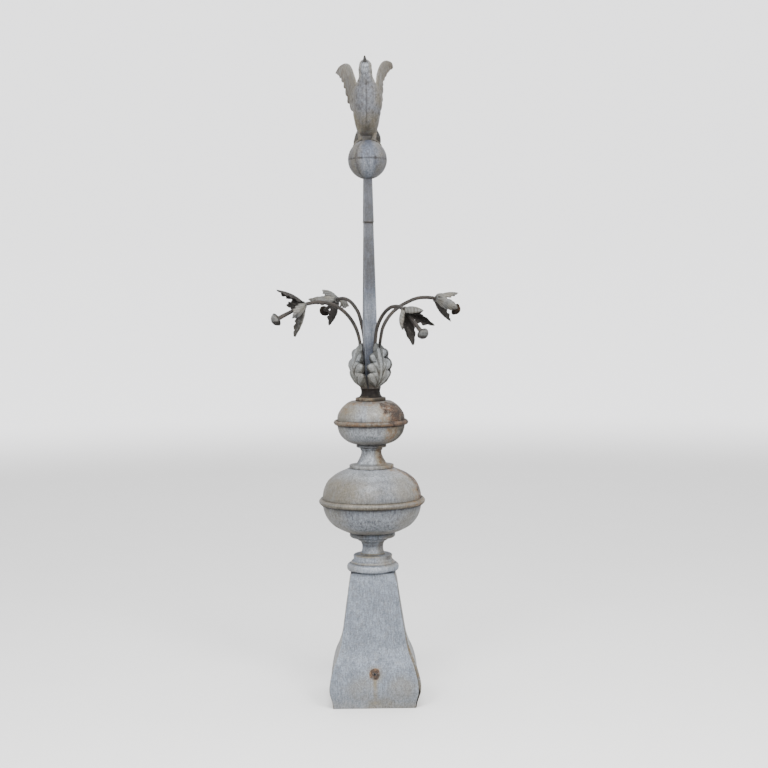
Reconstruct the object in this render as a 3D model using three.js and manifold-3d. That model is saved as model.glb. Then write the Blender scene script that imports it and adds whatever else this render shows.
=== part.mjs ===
import * as THREE from "three";
import { mergeVertices } from "three/addons/utils/BufferGeometryUtils.js";
import Module from "manifold-3d";

// Zinc roof finial in millimetres: +Z up, the front toward -Y, the origin on the
// centre line at the underside of the base.

const wasm = await Module();
wasm.setup();

// Sheet and fit values
const sheetWall = 1.6;
const leafWall = 1.8;
const rosetteWall = 1.6;
const fitGap = 0.3;

// Height of each stacked piece, from the foot upward
const baseHeight = 333;
const footMouldingHeight = 43;
const lowerNeckHeight = 57;
const bigBulbLowerHeight = 80.7;
const bigBulbUpperHeight = 84.3;
const middleNeckHeight = 62;
const smallBulbLowerHeight = 56.3;
const smallBulbUpperHeight = 54.7;
const topRingHeight = 9.6;
const socketHeight = 22.4;
const shaftLowerLength = 422.5;
const shaftUpperLength = 111.38;

// Radii and half widths
const baseTopHalf = 56;
const baseFootHalf = 104;
const baseHemWidth = 5;
const baseHemHeight = 5;
const footMouldingRadius = 66.9;
const lowerNeckRadius = 58.8;
const middleNeckRadius = 57;
const bulbSeatOverlap = 3.2;
const bigBulbRadius = 127;
const bigBeadReach = 10;
const bigBeadThickness = 8.5;
const smallBulbRadius = 87.5;
const smallBeadReach = 8.8;
const smallBeadThickness = 6.6;
const topRingRadius = 39.2;
const socketRadius = 32;
const calyxRadiusMax = 57;
const calyxHeight = 121;
const ballRadius = 50;
const ballFlatRadius = 14.6;
const birdHeight = 213;
const shaftFootSide = 32;
const shaftShoulderSide = 32.4;
const shaftShoulderRise = 187;
const shaftLipLowerSide = 23.6;
const shaftLipUpperSide = 25.4;
const shaftTopSide = 21.2;
const shaftTurn = 10;
const stemRadius = 4.25;
const pistilEndRadius = 5.6;
const budRadius = 16.6;
const budShare = { a: 1, b: 0.88, c: 0.9, d: 0.96 };
const budHeight = 15.4;
const armReach = 204;
const armRise = 231;
const stemRootReach = 22.6;
const stemRootGap = 9;
const hubInnerRadius = 5.6;
const hubOuterRadius = 9;
const leafHalfWidthMax = 15.5;
const leafLength = 84;
const leafCup = 9;

// Plan angles of the arms: a quarter turn apart, with a small lean for two of them
const armTurn = 32;
const armQuarter = { a: 2, b: 1, c: 3, d: 0 };
const armLean = { a: 0, b: -2, c: -1, d: 0 };

// Opened corner seam and nail hole of the base
const sprungReach = 7.4;
const sprungLength = 60;
const seamTopZ = 165;
const seamWidth = 2;
const nailHoleRadius = 2.5;
const nailHoleX = 2;
const nailHoleZ = 88;

// Heights of the joints between the stacked pieces
const baseTopZ = baseHeight;
const footTopZ = baseTopZ + footMouldingHeight;
const bigBulbBottomZ = footTopZ + lowerNeckHeight;
const bigBulbMiddleZ = bigBulbBottomZ + bigBulbLowerHeight;
const bigBulbTopZ = bigBulbMiddleZ + bigBulbUpperHeight;
const smallBulbBottomZ = bigBulbTopZ + middleNeckHeight;
const smallBulbMiddleZ = smallBulbBottomZ + smallBulbLowerHeight;
const smallBulbTopZ = smallBulbMiddleZ + smallBulbUpperHeight;
const ringTopZ = smallBulbTopZ + topRingHeight;
const calyxBottomZ = ringTopZ + socketHeight;
const shaftLipZ = calyxBottomZ + shaftLowerLength;
const ballBottomZ = shaftLipZ + shaftUpperLength;
const ballCentreZ = ballBottomZ + Math.sqrt(ballRadius ** 2 - ballFlatRadius ** 2);

const rad = Math.PI / 180;

function vec(x, y, z) {
  return new THREE.Vector3(x, y, z);
}

// Six times the volume inside the triangles, below zero when they face inward
function signedVolume(points, index) {
  const corner = (i) => vec(points[3 * i], points[3 * i + 1], points[3 * i + 2]);
  let sum = 0;
  for (let t = 0; t < index.length; t += 3) {
    sum += corner(index[t]).dot(corner(index[t + 1]).cross(corner(index[t + 2])));
  }
  return sum;
}

// Closed solid through rings that all have the same number of points
function solidFromRings(rings, loop = false) {
  const count = rings[0].length;
  const points = [];
  const index = [];
  for (const ring of rings) {
    for (const p of ring) {
      points.push(p.x, p.y, p.z);
    }
  }
  const spans = loop ? rings.length : rings.length - 1;
  for (let i = 0; i < spans; i++) {
    const next = (i + 1) % rings.length;
    for (let j = 0; j < count; j++) {
      const k = (j + 1) % count;
      const a = i * count + j;
      const b = i * count + k;
      const c = next * count + k;
      const d = next * count + j;
      index.push(a, b, c, a, c, d);
    }
  }
  if (!loop) {
    const ends = [rings[0], rings[rings.length - 1]];
    for (let e = 0; e < 2; e++) {
      const start = e === 0 ? 0 : (rings.length - 1) * count;
      const middle = points.length / 3;
      const centre = vec(0, 0, 0);
      for (const p of ends[e]) {
        centre.add(p);
      }
      centre.multiplyScalar(1 / count);
      points.push(centre.x, centre.y, centre.z);
      for (let j = 0; j < count; j++) {
        const k = (j + 1) % count;
        if (e === 0) {
          index.push(middle, start + k, start + j);
        } else {
          index.push(middle, start + j, start + k);
        }
      }
    }
  }
  if (signedVolume(points, index) < 0) {
    index.reverse();
  }
  const geometry = new THREE.BufferGeometry();
  geometry.setAttribute("position", new THREE.Float32BufferAttribute(points, 3));
  geometry.setIndex(index);
  return geometry;
}

// Solid of revolution about Z from [radius, height] pairs running upward
function turned(profile, segments) {
  const rings = [];
  for (const [radius, z] of profile) {
    const ring = [];
    for (let i = 0; i < segments; i++) {
      const angle = (2 * Math.PI * (i + 0.5)) / segments;
      ring.push(vec(radius * Math.cos(angle), radius * Math.sin(angle), z));
    }
    rings.push(ring);
  }
  return solidFromRings(rings);
}

// Turned moulding from shares of its radius and of its height between two joints
function moulding(radius, bottomZ, topZ, rows, segments) {
  return turned(
    rows.map(([share, rise]) => [share * radius, bottomZ + rise * (topZ - bottomZ)]),
    segments
  );
}

// Bulb half from shares of the way from its seat to its widest, and of its height
function bulbHalf(seatRadius, bulbRadius, seatZ, middleZ, rows, segments) {
  const profile = rows.map(([share, rise]) => [
    seatRadius + share * (bulbRadius - seatRadius),
    seatZ + rise * (middleZ - seatZ),
  ]);
  return turned(seatZ < middleZ ? profile : profile.reverse(), segments);
}

// Ring about Z whose cross-section is a closed list of [radius, height] pairs
function turnedRing(section, segments) {
  const rings = [];
  for (let i = 0; i < segments; i++) {
    const angle = (2 * Math.PI * (i + 0.5)) / segments;
    rings.push(
      section.map(([radius, z]) => vec(radius * Math.cos(angle), radius * Math.sin(angle), z))
    );
  }
  return solidFromRings(rings, true);
}

// Square section prism or frustum through [half width, height] pairs
function squareStack(levels, turn = 0) {
  const rings = levels.map(([half, z]) => {
    const ring = [];
    for (const [sx, sy] of [[1, 1], [-1, 1], [-1, -1], [1, -1]]) {
      const c = Math.cos(turn * rad);
      const s = Math.sin(turn * rad);
      ring.push(vec(half * (sx * c - sy * s), half * (sx * s + sy * c), z));
    }
    return ring;
  });
  return solidFromRings(rings);
}

function toManifold(geometry) {
  const bare = new THREE.BufferGeometry();
  bare.setAttribute("position", geometry.getAttribute("position").clone());
  if (geometry.index) {
    bare.setIndex(geometry.index.clone());
  }
  const joined = mergeVertices(bare, 1e-4);
  const mesh = new wasm.Mesh({
    numProp: 3,
    vertProperties: new Float32Array(joined.getAttribute("position").array),
    triVerts: new Uint32Array(joined.index.array),
  });
  return new wasm.Manifold(mesh);
}

function fromManifold(solid) {
  const mesh = solid.getMesh();
  const points = [];
  for (let i = 0; i < mesh.numVert; i++) {
    for (let k = 0; k < 3; k++) {
      points.push(mesh.vertProperties[i * mesh.numProp + k]);
    }
  }
  const geometry = new THREE.BufferGeometry();
  geometry.setAttribute("position", new THREE.Float32BufferAttribute(points, 3));
  geometry.setIndex(Array.from(mesh.triVerts));
  return geometry;
}

// Smooth value through [position, value] pairs, straight between neighbours
function along(table, t) {
  for (let i = 1; i < table.length; i++) {
    if (t <= table[i][0]) {
      const [t0, v0] = table[i - 1];
      const [t1, v1] = table[i];
      return v0 + ((v1 - v0) * (t - t0)) / (t1 - t0);
    }
  }
  return table[table.length - 1][1];
}

// Thin curved sheet: point(u, v) gives the outer face and inward(u, v) the way in
function sheet(point, inward, stepsU, stepsV, wall) {
  const rings = [];
  for (let i = 0; i < stepsU.length; i++) {
    const outer = [];
    const inner = [];
    for (let j = 0; j < stepsV.length; j++) {
      const p = point(stepsU[i], stepsV[j]);
      const n = inward(stepsU[i], stepsV[j]);
      outer.push(p);
      inner.push(p.clone().addScaledVector(n, wall));
    }
    rings.push(outer.concat(inner.reverse()));
  }
  return solidFromRings(rings);
}

const group = new THREE.Group();

const looks = {
  zincGrey: { color: 0x8f949a, roughness: 0.62, metalness: 0.55 },
  zincBrown: { color: 0x857a70, roughness: 0.68, metalness: 0.45 },
  zincPale: { color: 0x989a98, roughness: 0.66, metalness: 0.4 },
  rustedZinc: { color: 0x6a4a36, roughness: 0.8, metalness: 0.25 },
  darkZinc: { color: 0x2c2a2a, roughness: 0.78, metalness: 0.3 },
  rustedIron: { color: 0x3a2e29, roughness: 0.82, metalness: 0.3 },
};

function add(name, geometry, look) {
  const flat = geometry.index ? geometry.toNonIndexed() : geometry;
  flat.deleteAttribute("normal");
  flat.computeVertexNormals();
  const settings = looks[look];
  const material = new THREE.MeshStandardMaterial(settings);
  material.name = look;
  const mesh = new THREE.Mesh(flat, material);
  mesh.name = name;
  group.add(mesh);
}

// Base: hollow square spire foot of sheet, open below, turned in at the foot
const baseCurve = [
  [1, 0],
  [1.0583, 0.048],
  [1.1354, 0.0901],
  [1.1875, 0.1261],
  [1.1875, 0.1682],
  [1.1167, 0.2342],
  [1, 0.3003],
  [0.8958, 0.3423],
  [0.7708, 0.3844],
  [0.6333, 0.4444],
  [0.5417, 0.5075],
  [0.3938, 0.6547],
  [0.2333, 0.8048],
  [0.1458, 0.9009],
  [0, 1],
];
const baseLevels = baseCurve.map(([share, rise]) => [
  baseTopHalf + share * (baseFootHalf - baseTopHalf),
  rise * baseHeight,
]);

// How far the right sheet's front edge stands out past the front sheet, by height
const sprungCurve = [
  [0, 0.2162],
  [0.1021, 0.5405],
  [0.1922, 1],
  [0.2883, 0.9459],
  [0.3844, 0.8649],
  [0.5075, 0.4054],
  [0.6006, 0.0676],
  [1, 0.0676],
];
const sprungSheet = sprungCurve.map(([rise, share]) => [
  rise * baseHeight,
  share * sprungReach,
]);

// Outer or inner face of the base, with the sprung sheet at its right front corner
function baseFaces(levels, inset) {
  const rings = levels.map(([half, z]) => {
    const h = half - inset;
    const out = along(sprungSheet, Math.max(z, 0));
    return [
      vec(h, h, z),
      vec(-h, h, z),
      vec(-h, -h, z),
      vec(h - 0.4, -h, z),
      vec(h + out, -h + 3, z),
      vec(h + out * 0.5, -h + sprungLength, z),
    ];
  });
  return solidFromRings(rings);
}

function buildBase() {
  const outer = toManifold(baseFaces(baseLevels, 0));
  const hemHalf = baseFootHalf - baseHemWidth + sheetWall;
  const innerLevels = [
    [hemHalf, -1],
    [hemHalf, baseHemHeight],
    ...baseLevels.slice(1, -1),
    [baseTopHalf + 0.4, baseTopZ - sheetWall],
  ];
  let shell = outer.subtract(toManifold(baseFaces(innerLevels, sheetWall)));
  // The seam has opened where the sheet sprang away, so a slit runs down the corner
  const slitLevels = [0, 0.2, 0.4, 0.6, 0.8, 1].map((share) => share * seamTopZ);
  const slitRings = slitLevels.map((z) => {
    const half = along(baseLevels.map(([h, level]) => [level, h]), z);
    const out = along(sprungSheet, z);
    const wide = seamWidth * (z < seamTopZ ? 1 : 0.3);
    const x = half + out * 0.45;
    const low = z === 0 ? baseHemHeight + 2 : z;
    return [
      vec(x - wide / 2, -half - 3, low),
      vec(x + wide / 2, -half - 3, low),
      vec(x + wide / 2 - 3, -half + 9, low),
      vec(x - wide / 2 - 3, -half + 9, low),
    ];
  });
  shell = shell.subtract(toManifold(solidFromRings(slitRings)));
  const drill = turned([[nailHoleRadius, 0], [nailHoleRadius, baseFootHalf]], 10);
  drill.rotateX(90 * rad);
  drill.translate(nailHoleX, -baseFootHalf / 2, nailHoleZ);
  return shell.subtract(toManifold(drill));
}

add("base", fromManifold(buildBase()), "zincGrey");

// Foot moulding: torus, step and flange
const footRows = [
  [0.852, 0],
  [0.949, 0.037],
  [1, 0.163],
  [0.993, 0.326],
  [0.919, 0.465],
  [0.837, 0.493],
  [0.792, 0.605],
  [0.744, 0.721],
  [0.741, 0.944],
  [0.673, 1],
];
add("foot_moulding", moulding(footMouldingRadius, baseTopZ, footTopZ, footRows, 20), "zincGrey");

const lowerNeckRows = [
  [0.561, 0],
  [0.5, 0.088],
  [0.466, 0.228],
  [0.466, 0.386],
  [0.503, 0.526],
  [0.568, 0.621],
  [0.65, 0.639],
  [0.653, 0.719],
  [0.884, 0.744],
  [0.997, 0.798],
  [1, 0.956],
  [0.952, 1],
];
add(
  "lower_neck",
  moulding(lowerNeckRadius, footTopZ, bigBulbBottomZ, lowerNeckRows, 18),
  "zincGrey"
);

// Big bulb: two pressed halves with a bead round the joint
const bigSeatRadius = lowerNeckRadius + bulbSeatOverlap;
const bigCrownRadius = middleNeckRadius + bulbSeatOverlap;
const bigLowerRows = [
  [0, 0],
  [0.338, 0.117],
  [0.6, 0.243],
  [0.775, 0.392],
  [0.908, 0.572],
  [0.978, 0.759],
  [1, 1],
];
const bigUpperRows = [
  [-0.003, 0],
  [0.296, 0.101],
  [0.588, 0.231],
  [0.787, 0.374],
  [0.922, 0.563],
  [0.988, 0.759],
  [1, 1],
];
add(
  "big_bulb_lower",
  bulbHalf(
    bigSeatRadius,
    bigBulbRadius,
    bigBulbBottomZ,
    bigBulbMiddleZ - fitGap,
    bigLowerRows,
    28
  ),
  "zincGrey"
);
add(
  "big_bulb_upper",
  bulbHalf(bigCrownRadius, bigBulbRadius, bigBulbTopZ, bigBulbMiddleZ, bigUpperRows, 28),
  "zincGrey"
);

// Bead that clears the bulb's joint by the fit gap
function bead(bulbRadius, reach, thick, z, segments) {
  const inner = bulbRadius + fitGap + 0.1;
  const outer = bulbRadius + reach;
  return turnedRing(
    [
      [inner, z - thick],
      [outer - thick * 0.35, z - thick * 0.78],
      [outer, z],
      [outer - thick * 0.35, z + thick * 0.78],
      [inner, z + thick],
    ],
    segments
  );
}
add(
  "big_bulb_bead",
  bead(bigBulbRadius, bigBeadReach, bigBeadThickness, bigBulbMiddleZ, 28),
  "zincBrown"
);

const middleNeckRows = [
  [0.947, 0],
  [1, 0.032],
  [1, 0.139],
  [0.702, 0.185],
  [0.604, 0.323],
  [0.509, 0.484],
  [0.46, 0.629],
  [0.467, 0.748],
  [0.502, 0.774],
  [0.505, 0.845],
  [0.674, 0.871],
  [0.681, 0.968],
  [0.649, 1],
];
add(
  "middle_neck",
  moulding(middleNeckRadius, bigBulbTopZ, smallBulbBottomZ, middleNeckRows, 18),
  "zincBrown"
);

// Small bulb, made as the big one
const smallSeatRadius = middleNeckRadius * 0.68 + bulbSeatOverlap;
const smallCrownRadius = topRingRadius * 1.245 + bulbSeatOverlap;
const smallLowerRows = [
  [0.001, 0],
  [0.418, 0.125],
  [0.734, 0.332],
  [0.91, 0.582],
  [0.991, 0.857],
  [1, 1],
];
const smallUpperRows = [
  [0, 0],
  [0.465, 0.192],
  [0.817, 0.475],
  [0.986, 0.731],
  [1, 1],
];
add(
  "small_bulb_lower",
  bulbHalf(
    smallSeatRadius,
    smallBulbRadius,
    smallBulbBottomZ,
    smallBulbMiddleZ - fitGap,
    smallLowerRows,
    24
  ),
  "zincGrey"
);
add(
  "small_bulb_upper",
  bulbHalf(
    smallCrownRadius,
    smallBulbRadius,
    smallBulbTopZ,
    smallBulbMiddleZ,
    smallUpperRows,
    24
  ),
  "zincGrey"
);
add(
  "small_bulb_bead",
  bead(smallBulbRadius, smallBeadReach, smallBeadThickness, smallBulbMiddleZ, 24),
  "zincBrown"
);

const topRingRows = [
  [0.918, 0],
  [1, 0.229],
  [1, 0.771],
  [0.893, 1],
];
add("top_ring", moulding(topRingRadius, smallBulbTopZ, ringTopZ, topRingRows, 18), "rustedZinc");

const socketRows = [
  [1, 0],
  [0.844, 0.223],
  [0.775, 0.464],
  [0.769, 0.687],
  [0.825, 1],
];
add("calyx_socket", moulding(socketRadius, ringTopZ, calyxBottomZ, socketRows, 16), "darkZinc");

// Four calyx leaves, one in front of each stem, rising from the socket's rim
const calyxRise = [
  [0, 0],
  [0.14, 0.536],
  [0.28, 0.884],
  [0.4, 0.993],
  [0.5, 1],
  [0.575, 0.934],
  [0.73, 0.735],
  [0.8, 0.603],
  [0.92, 0.404],
  [1, 0.305],
];
const calyxHalfAngle = [
  [0, 40],
  [0.14, 42],
  [0.28, 43],
  [0.35, 34],
  [0.5, 43],
  [0.575, 31],
  [0.73, 35],
  [0.8, 19],
  [0.92, 17],
  [1, 7],
];
const socketRimRadius = socketRadius * socketRows[socketRows.length - 1][0];

function calyxPoint(azimuth, u, v) {
  const spread = along(calyxHalfAngle, u) * v * rad;
  const edge = Math.abs(v);
  const rootRadius = socketRimRadius + 0.4;
  const fullRadius = rootRadius + along(calyxRise, u) * (calyxRadiusMax - rootRadius);
  const radius = fullRadius - Math.min(1, 4 * u) * (0.05 * fullRadius * edge * edge + 1.5 * edge);
  const angle = azimuth * rad + spread;
  const z = calyxBottomZ + calyxHeight * (u - 0.06 * edge * u);
  return vec(radius * Math.cos(angle), radius * Math.sin(angle), z);
}

for (const [key, quarter] of Object.entries(armQuarter)) {
  const azimuth = armTurn + 90 * quarter;
  const leaf = sheet(
    (u, v) => calyxPoint(azimuth, u, v),
    (u, v) => {
      const angle = azimuth * rad + along(calyxHalfAngle, u) * v * rad;
      return vec(-Math.cos(angle), -Math.sin(angle), 0);
    },
    calyxHalfAngle.map(([u]) => u),
    [-1, -0.45, 0, 0.45, 1],
    leafWall
  );
  add(`calyx_leaf_${key}`, leaf, "zincGrey");
}

// Shaft in two square lengths, straight up to its shoulder, the upper one wider at the joint
add(
  "shaft_lower",
  squareStack(
    [
      [shaftFootSide / 2, calyxBottomZ],
      [shaftShoulderSide / 2, calyxBottomZ + shaftShoulderRise],
      [shaftLipLowerSide / 2, shaftLipZ],
    ],
    shaftTurn
  ),
  "zincGrey"
);
add(
  "shaft_upper",
  squareStack(
    [
      [shaftLipUpperSide / 2, shaftLipZ],
      [shaftTopSide / 2, ballBottomZ],
    ],
    shaftTurn
  ),
  "zincGrey"
);

// Ball in two halves
function ballArc(fromAngle, toAngle, steps) {
  const arc = [];
  for (let i = 0; i <= steps; i++) {
    const angle = (fromAngle + ((toAngle - fromAngle) * i) / steps) * rad;
    arc.push([ballRadius * Math.cos(angle), ballCentreZ + ballRadius * Math.sin(angle)]);
  }
  return arc;
}
const ballFlatAngle = Math.asin((ballBottomZ - ballCentreZ) / ballRadius) / rad;
const lowerArc = ballArc(ballFlatAngle, 0, 5);
lowerArc[lowerArc.length - 1][1] -= fitGap;
add("ball_lower", turned(lowerArc, 16), "zincGrey");
const upperArc = ballArc(0, 84, 5);
add("ball_upper", turned(upperArc, 16), "zincGrey");

// Bird: facing the front, wings raised and swept back, tail fanned low behind
function ovalRing(centre, halfX, halfDepth, pitch, count) {
  const ring = [];
  for (let i = 0; i < count; i++) {
    const angle = (2 * Math.PI * i) / count;
    const x = halfX * Math.cos(angle);
    const d = halfDepth * Math.sin(angle);
    ring.push(
      vec(centre[0] + x, centre[1] + d * Math.cos(pitch * rad), centre[2] + d * Math.sin(pitch * rad))
    );
  }
  return ring;
}

// Rows of the body from the vent to the crown: centre, half width and half depth as
// shares of the bird's height, measured from the top of the ball, then the pitch
const bodyRows = [
  [[0, 0.15, 0.056], 0.042, 0.038, 15],
  [[0, 0.103, 0.08], 0.099, 0.089, 12],
  [[0, 0.047, 0.15], 0.131, 0.146, 8],
  [[0, 0, 0.235], 0.15, 0.188, 2],
  [[0, -0.047, 0.329], 0.169, 0.202, -4],
  [[0, -0.08, 0.432], 0.19, 0.197, -10],
  [[0, -0.108, 0.531], 0.178, 0.174, -16],
  [[0, -0.155, 0.629], 0.117, 0.131, -16],
  [[-0.005, -0.202, 0.704], 0.08, 0.099, -8],
  [[-0.009, -0.235, 0.77], 0.071, 0.089, 2],
  [[-0.009, -0.254, 0.831], 0.067, 0.08, 8],
  [[-0.009, -0.258, 0.873], 0.054, 0.066, 8],
  [[-0.009, -0.263, 0.901], 0.033, 0.038, 8],
];
const beakRows = [
  [[-0.009, -0.291, 0.864], 0.031, 0.03, 90],
  [[-0.012, -0.338, 0.884], 0.022, 0.024, 90],
  [[-0.016, -0.394, 0.902], 0.014, 0.016, 90],
  [[-0.019, -0.437, 0.912], 0.004, 0.006, 90],
];

function birdSolid(rows, count) {
  const scaled = (centre) => centre.map((value) => value * birdHeight);
  return solidFromRings(
    rows.map(([centre, halfX, halfDepth, pitch]) =>
      ovalRing(scaled(centre), halfX * birdHeight, halfDepth * birdHeight, pitch, count)
    )
  );
}

// Wing sections from root to tip: leading edge, trailing edge and thickness
const leftWingRows = [
  [[-0.103, -0.16, 0.545], [-0.16, 0.263, 0.357], 0.038],
  [[-0.122, -0.178, 0.657], [-0.216, 0.254, 0.469], 0.033],
  [[-0.15, -0.122, 0.761], [-0.244, 0.188, 0.573], 0.026],
  [[-0.178, -0.009, 0.854], [-0.272, 0.178, 0.681], 0.022],
  [[-0.216, 0.16, 0.925], [-0.31, 0.254, 0.77], 0.019],
  [[-0.268, 0.338, 0.962], [-0.352, 0.385, 0.84], 0.016],
  [[-0.329, 0.441, 0.948], [-0.376, 0.469, 0.864], 0.012],
  [[-0.357, 0.474, 0.911], [-0.376, 0.479, 0.883], 0.008],
];
const rightWingRows = [
  [[0.103, -0.16, 0.526], [0.141, 0.263, 0.357], 0.038],
  [[0.117, -0.178, 0.638], [0.178, 0.254, 0.479], 0.033],
  [[0.127, -0.131, 0.742], [0.192, 0.188, 0.61], 0.026],
  [[0.15, 0, 0.845], [0.197, 0.178, 0.7], 0.022],
  [[0.188, 0.169, 0.939], [0.225, 0.254, 0.779], 0.019],
  [[0.239, 0.347, 1], [0.272, 0.366, 0.869], 0.016],
  [[0.3, 0.451, 0.995], [0.319, 0.469, 0.93], 0.012],
  [[0.319, 0.479, 0.967], [0.324, 0.484, 0.948], 0.008],
];

function wingSolid(rows) {
  const rings = rows.map(([lead, trail, thickShare]) => {
    const a = vec(...lead).multiplyScalar(birdHeight);
    const b = vec(...trail).multiplyScalar(birdHeight);
    const thick = thickShare * birdHeight;
    const ring = [];
    for (const [t, half] of [[0, 0.35], [0.35, 1], [0.7, 0.8], [1, 0.3]]) {
      ring.push(a.clone().lerp(b, t).add(vec((half * thick) / 2, 0, 0)));
    }
    for (const [t, half] of [[1, 0.3], [0.7, 0.8], [0.35, 1], [0, 0.35]]) {
      ring.push(a.clone().lerp(b, t).add(vec((-half * thick) / 2, 0, 0)));
    }
    return ring;
  });
  return solidFromRings(rings);
}

// Tail fan sections from the rump to the tip: middle, half width, thickness
const tailRows = [
  [[0, 0.103, 0.169], 0.089, 0.075],
  [[0, 0.235, 0.178], 0.108, 0.047],
  [[0, 0.376, 0.15], 0.129, 0.033],
  [[0, 0.526, 0.108], 0.16, 0.023],
  [[0, 0.667, 0.042], 0.169, 0.019],
  [[-0.014, 0.779, -0.005], 0.122, 0.014],
];

function tailSolid() {
  const rings = tailRows.map(([middle, half, thick]) => {
    const ring = [];
    for (const [x, h] of [[-1, -0.5], [0, -0.2], [1, -0.5], [1, 0.1], [0.5, 0.6], [-0.5, 0.6], [-1, 0.1]]) {
      const p = vec(middle[0] + x * half, middle[1], middle[2] + h * thick);
      ring.push(p.multiplyScalar(birdHeight));
    }
    return ring;
  });
  return solidFromRings(rings);
}

const legX = 0.082;

function legSolid(side) {
  const rows = [
    [[side * legX, 0.08, -0.047], 0.028, 0.028, 0],
    [[side * legX, 0.075, 0.009], 0.021, 0.021, 0],
    [[side * legX, 0.066, 0.066], 0.033, 0.038, 0],
    [[side * (legX - 0.014), 0.056, 0.16], 0.052, 0.066, 0],
  ];
  return birdSolid(rows, 8);
}

// Toe that lies over the ball, from the leg outward
function toeSolid(side, spread, reach, width) {
  const direction = vec(side * Math.sin(spread * rad), -Math.cos(spread * rad), 0);
  const across = vec(direction.y, -direction.x, 0);
  const root = vec(side * legX, 0.07, 0).multiplyScalar(birdHeight);
  const rings = [0, 0.5, 1].map((t) => {
    const p = root.clone().addScaledVector(direction, reach * t);
    const fromAxis = Math.hypot(p.x, p.y);
    const onBall = Math.sqrt(Math.max(ballRadius ** 2 - fromAxis ** 2, 0)) - ballRadius;
    const half = (width / 2) * (1 - 0.55 * t);
    const low = vec(p.x, p.y, onBall - 3);
    const high = vec(p.x, p.y, onBall + 6.5 - 3 * t);
    return [
      low.clone().addScaledVector(across, half),
      low.clone().addScaledVector(across, -half),
      high.clone().addScaledVector(across, -half * 0.6),
      high.clone().addScaledVector(across, half * 0.6),
    ];
  });
  return solidFromRings(rings);
}

function buildBird() {
  const pieces = [birdSolid(beakRows, 8)];
  pieces.push(wingSolid(leftWingRows), wingSolid(rightWingRows));
  for (const side of [-1, 1]) {
    pieces.push(legSolid(side));
    for (const spread of [-18, 26, 172]) {
      const reach = (spread > 90 ? 0.056 : 0.108) * birdHeight;
      pieces.push(toeSolid(side, spread, reach, 0.0375 * birdHeight));
    }
  }
  pieces.push(tailSolid());
  let bird = toManifold(birdSolid(bodyRows, 14));
  for (const piece of pieces) {
    bird = bird.add(toManifold(piece));
  }
  const capSphere = new THREE.IcosahedronGeometry(ballRadius * 1.03, 2);
  capSphere.translate(0, 0, -ballRadius);
  bird = bird.subtract(toManifold(capSphere));
  return fromManifold(bird);
}

const birdGeometry = buildBird();
birdGeometry.translate(0, 0, ballCentreZ + ballRadius);
add("bird", birdGeometry, "zincBrown");

// Arms: reach from the centre line and rise of the rosette's hub and of the bud as shares
// of the largest arm's, the stem's path as shares of the way from its root to the hub,
// then each leaf's turn about the flower, spread from its axis, length and cup
const arms = {
  a: {
    hub: [0.9265, 0.9351],
    bud: [1.3039, 0.7835],
    path: [
      [0, 0], [0.004, 0.184], [0.02, 0.401], [0.062, 0.594], [0.129, 0.729],
      [0.237, 0.85], [0.393, 0.952], [0.567, 1.007], [0.766, 1.027], [0.934, 1.012],
    ],
    leaves: [[-3, 51, 1, 1], [96, 34, 1, 1], [186, 48, 1, 1], [276, 82, 0.952, 0.6]],
  },
  b: {
    hub: [0.8578, 0.9913],
    bud: [1.2103, 0.8658],
    path: [
      [0, 0], [0.005, 0.173], [0.029, 0.4], [0.068, 0.582], [0.14, 0.718],
      [0.226, 0.827], [0.35, 0.905], [0.521, 0.973], [0.731, 1.009], [0.921, 1.009],
    ],
    leaves: [[3, 42, 1, 1], [72, 56, 0.929, 1.2], [180, 36, 1, 1], [273, 51, 1, 1]],
  },
  c: {
    hub: [0.8235, 0.868],
    bud: [1.2206, 0.6234],
    path: [
      [0, 0], [0.003, 0.198], [0.017, 0.433], [0.041, 0.606], [0.106, 0.773],
      [0.285, 0.924], [0.519, 1.021], [0.746, 1.042], [0.924, 1.021],
    ],
    leaves: [[14, 34, 1, 1.5], [98, 48, 1, 1.3], [165, 48, 1.071, 1], [255, 32, 1, 1]],
  },
  d: {
    hub: [1, 0.9848],
    bud: [1.3044, 0.8658],
    path: [
      [0, 0], [0.004, 0.174], [0.019, 0.357], [0.055, 0.545], [0.096, 0.673],
      [0.201, 0.799], [0.338, 0.892], [0.493, 0.957], [0.658, 1.005], [0.802, 1.018],
      [0.945, 1.011],
    ],
    leaves: [[3, 36, 0.929, 1.2], [60, 54, 0.952, 1], [171, 24, 0.929, 1.2], [258, 74, 1, 1]],
  },
};

function armFrame(key, arm) {
  const azimuth = (armTurn + 90 * armQuarter[key] + armLean[key]) * rad;
  const out = vec(Math.cos(azimuth), Math.sin(azimuth), 0);
  const at = (reach, rise) => out.clone().multiplyScalar(reach).add(vec(0, 0, calyxBottomZ + rise));
  const hubReach = arm.hub[0] * armReach;
  const hubRise = arm.hub[1] * armRise;
  const path = arm.path.map(([share, rise]) =>
    at(
      stemRootReach + share * (hubReach - stemRootReach),
      stemRootGap + rise * (hubRise - stemRootGap)
    )
  );
  const hub = at(hubReach, hubRise);
  const bud = at(arm.bud[0] * armReach, arm.bud[1] * armRise);
  const axis = bud.clone().sub(hub).normalize();
  const side = vec(-out.y, out.x, 0);
  const up = side.clone().cross(axis).negate().normalize();
  if (up.z < 0) {
    up.negate();
  }
  return { path, hub, bud, axis, side, up };
}

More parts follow.
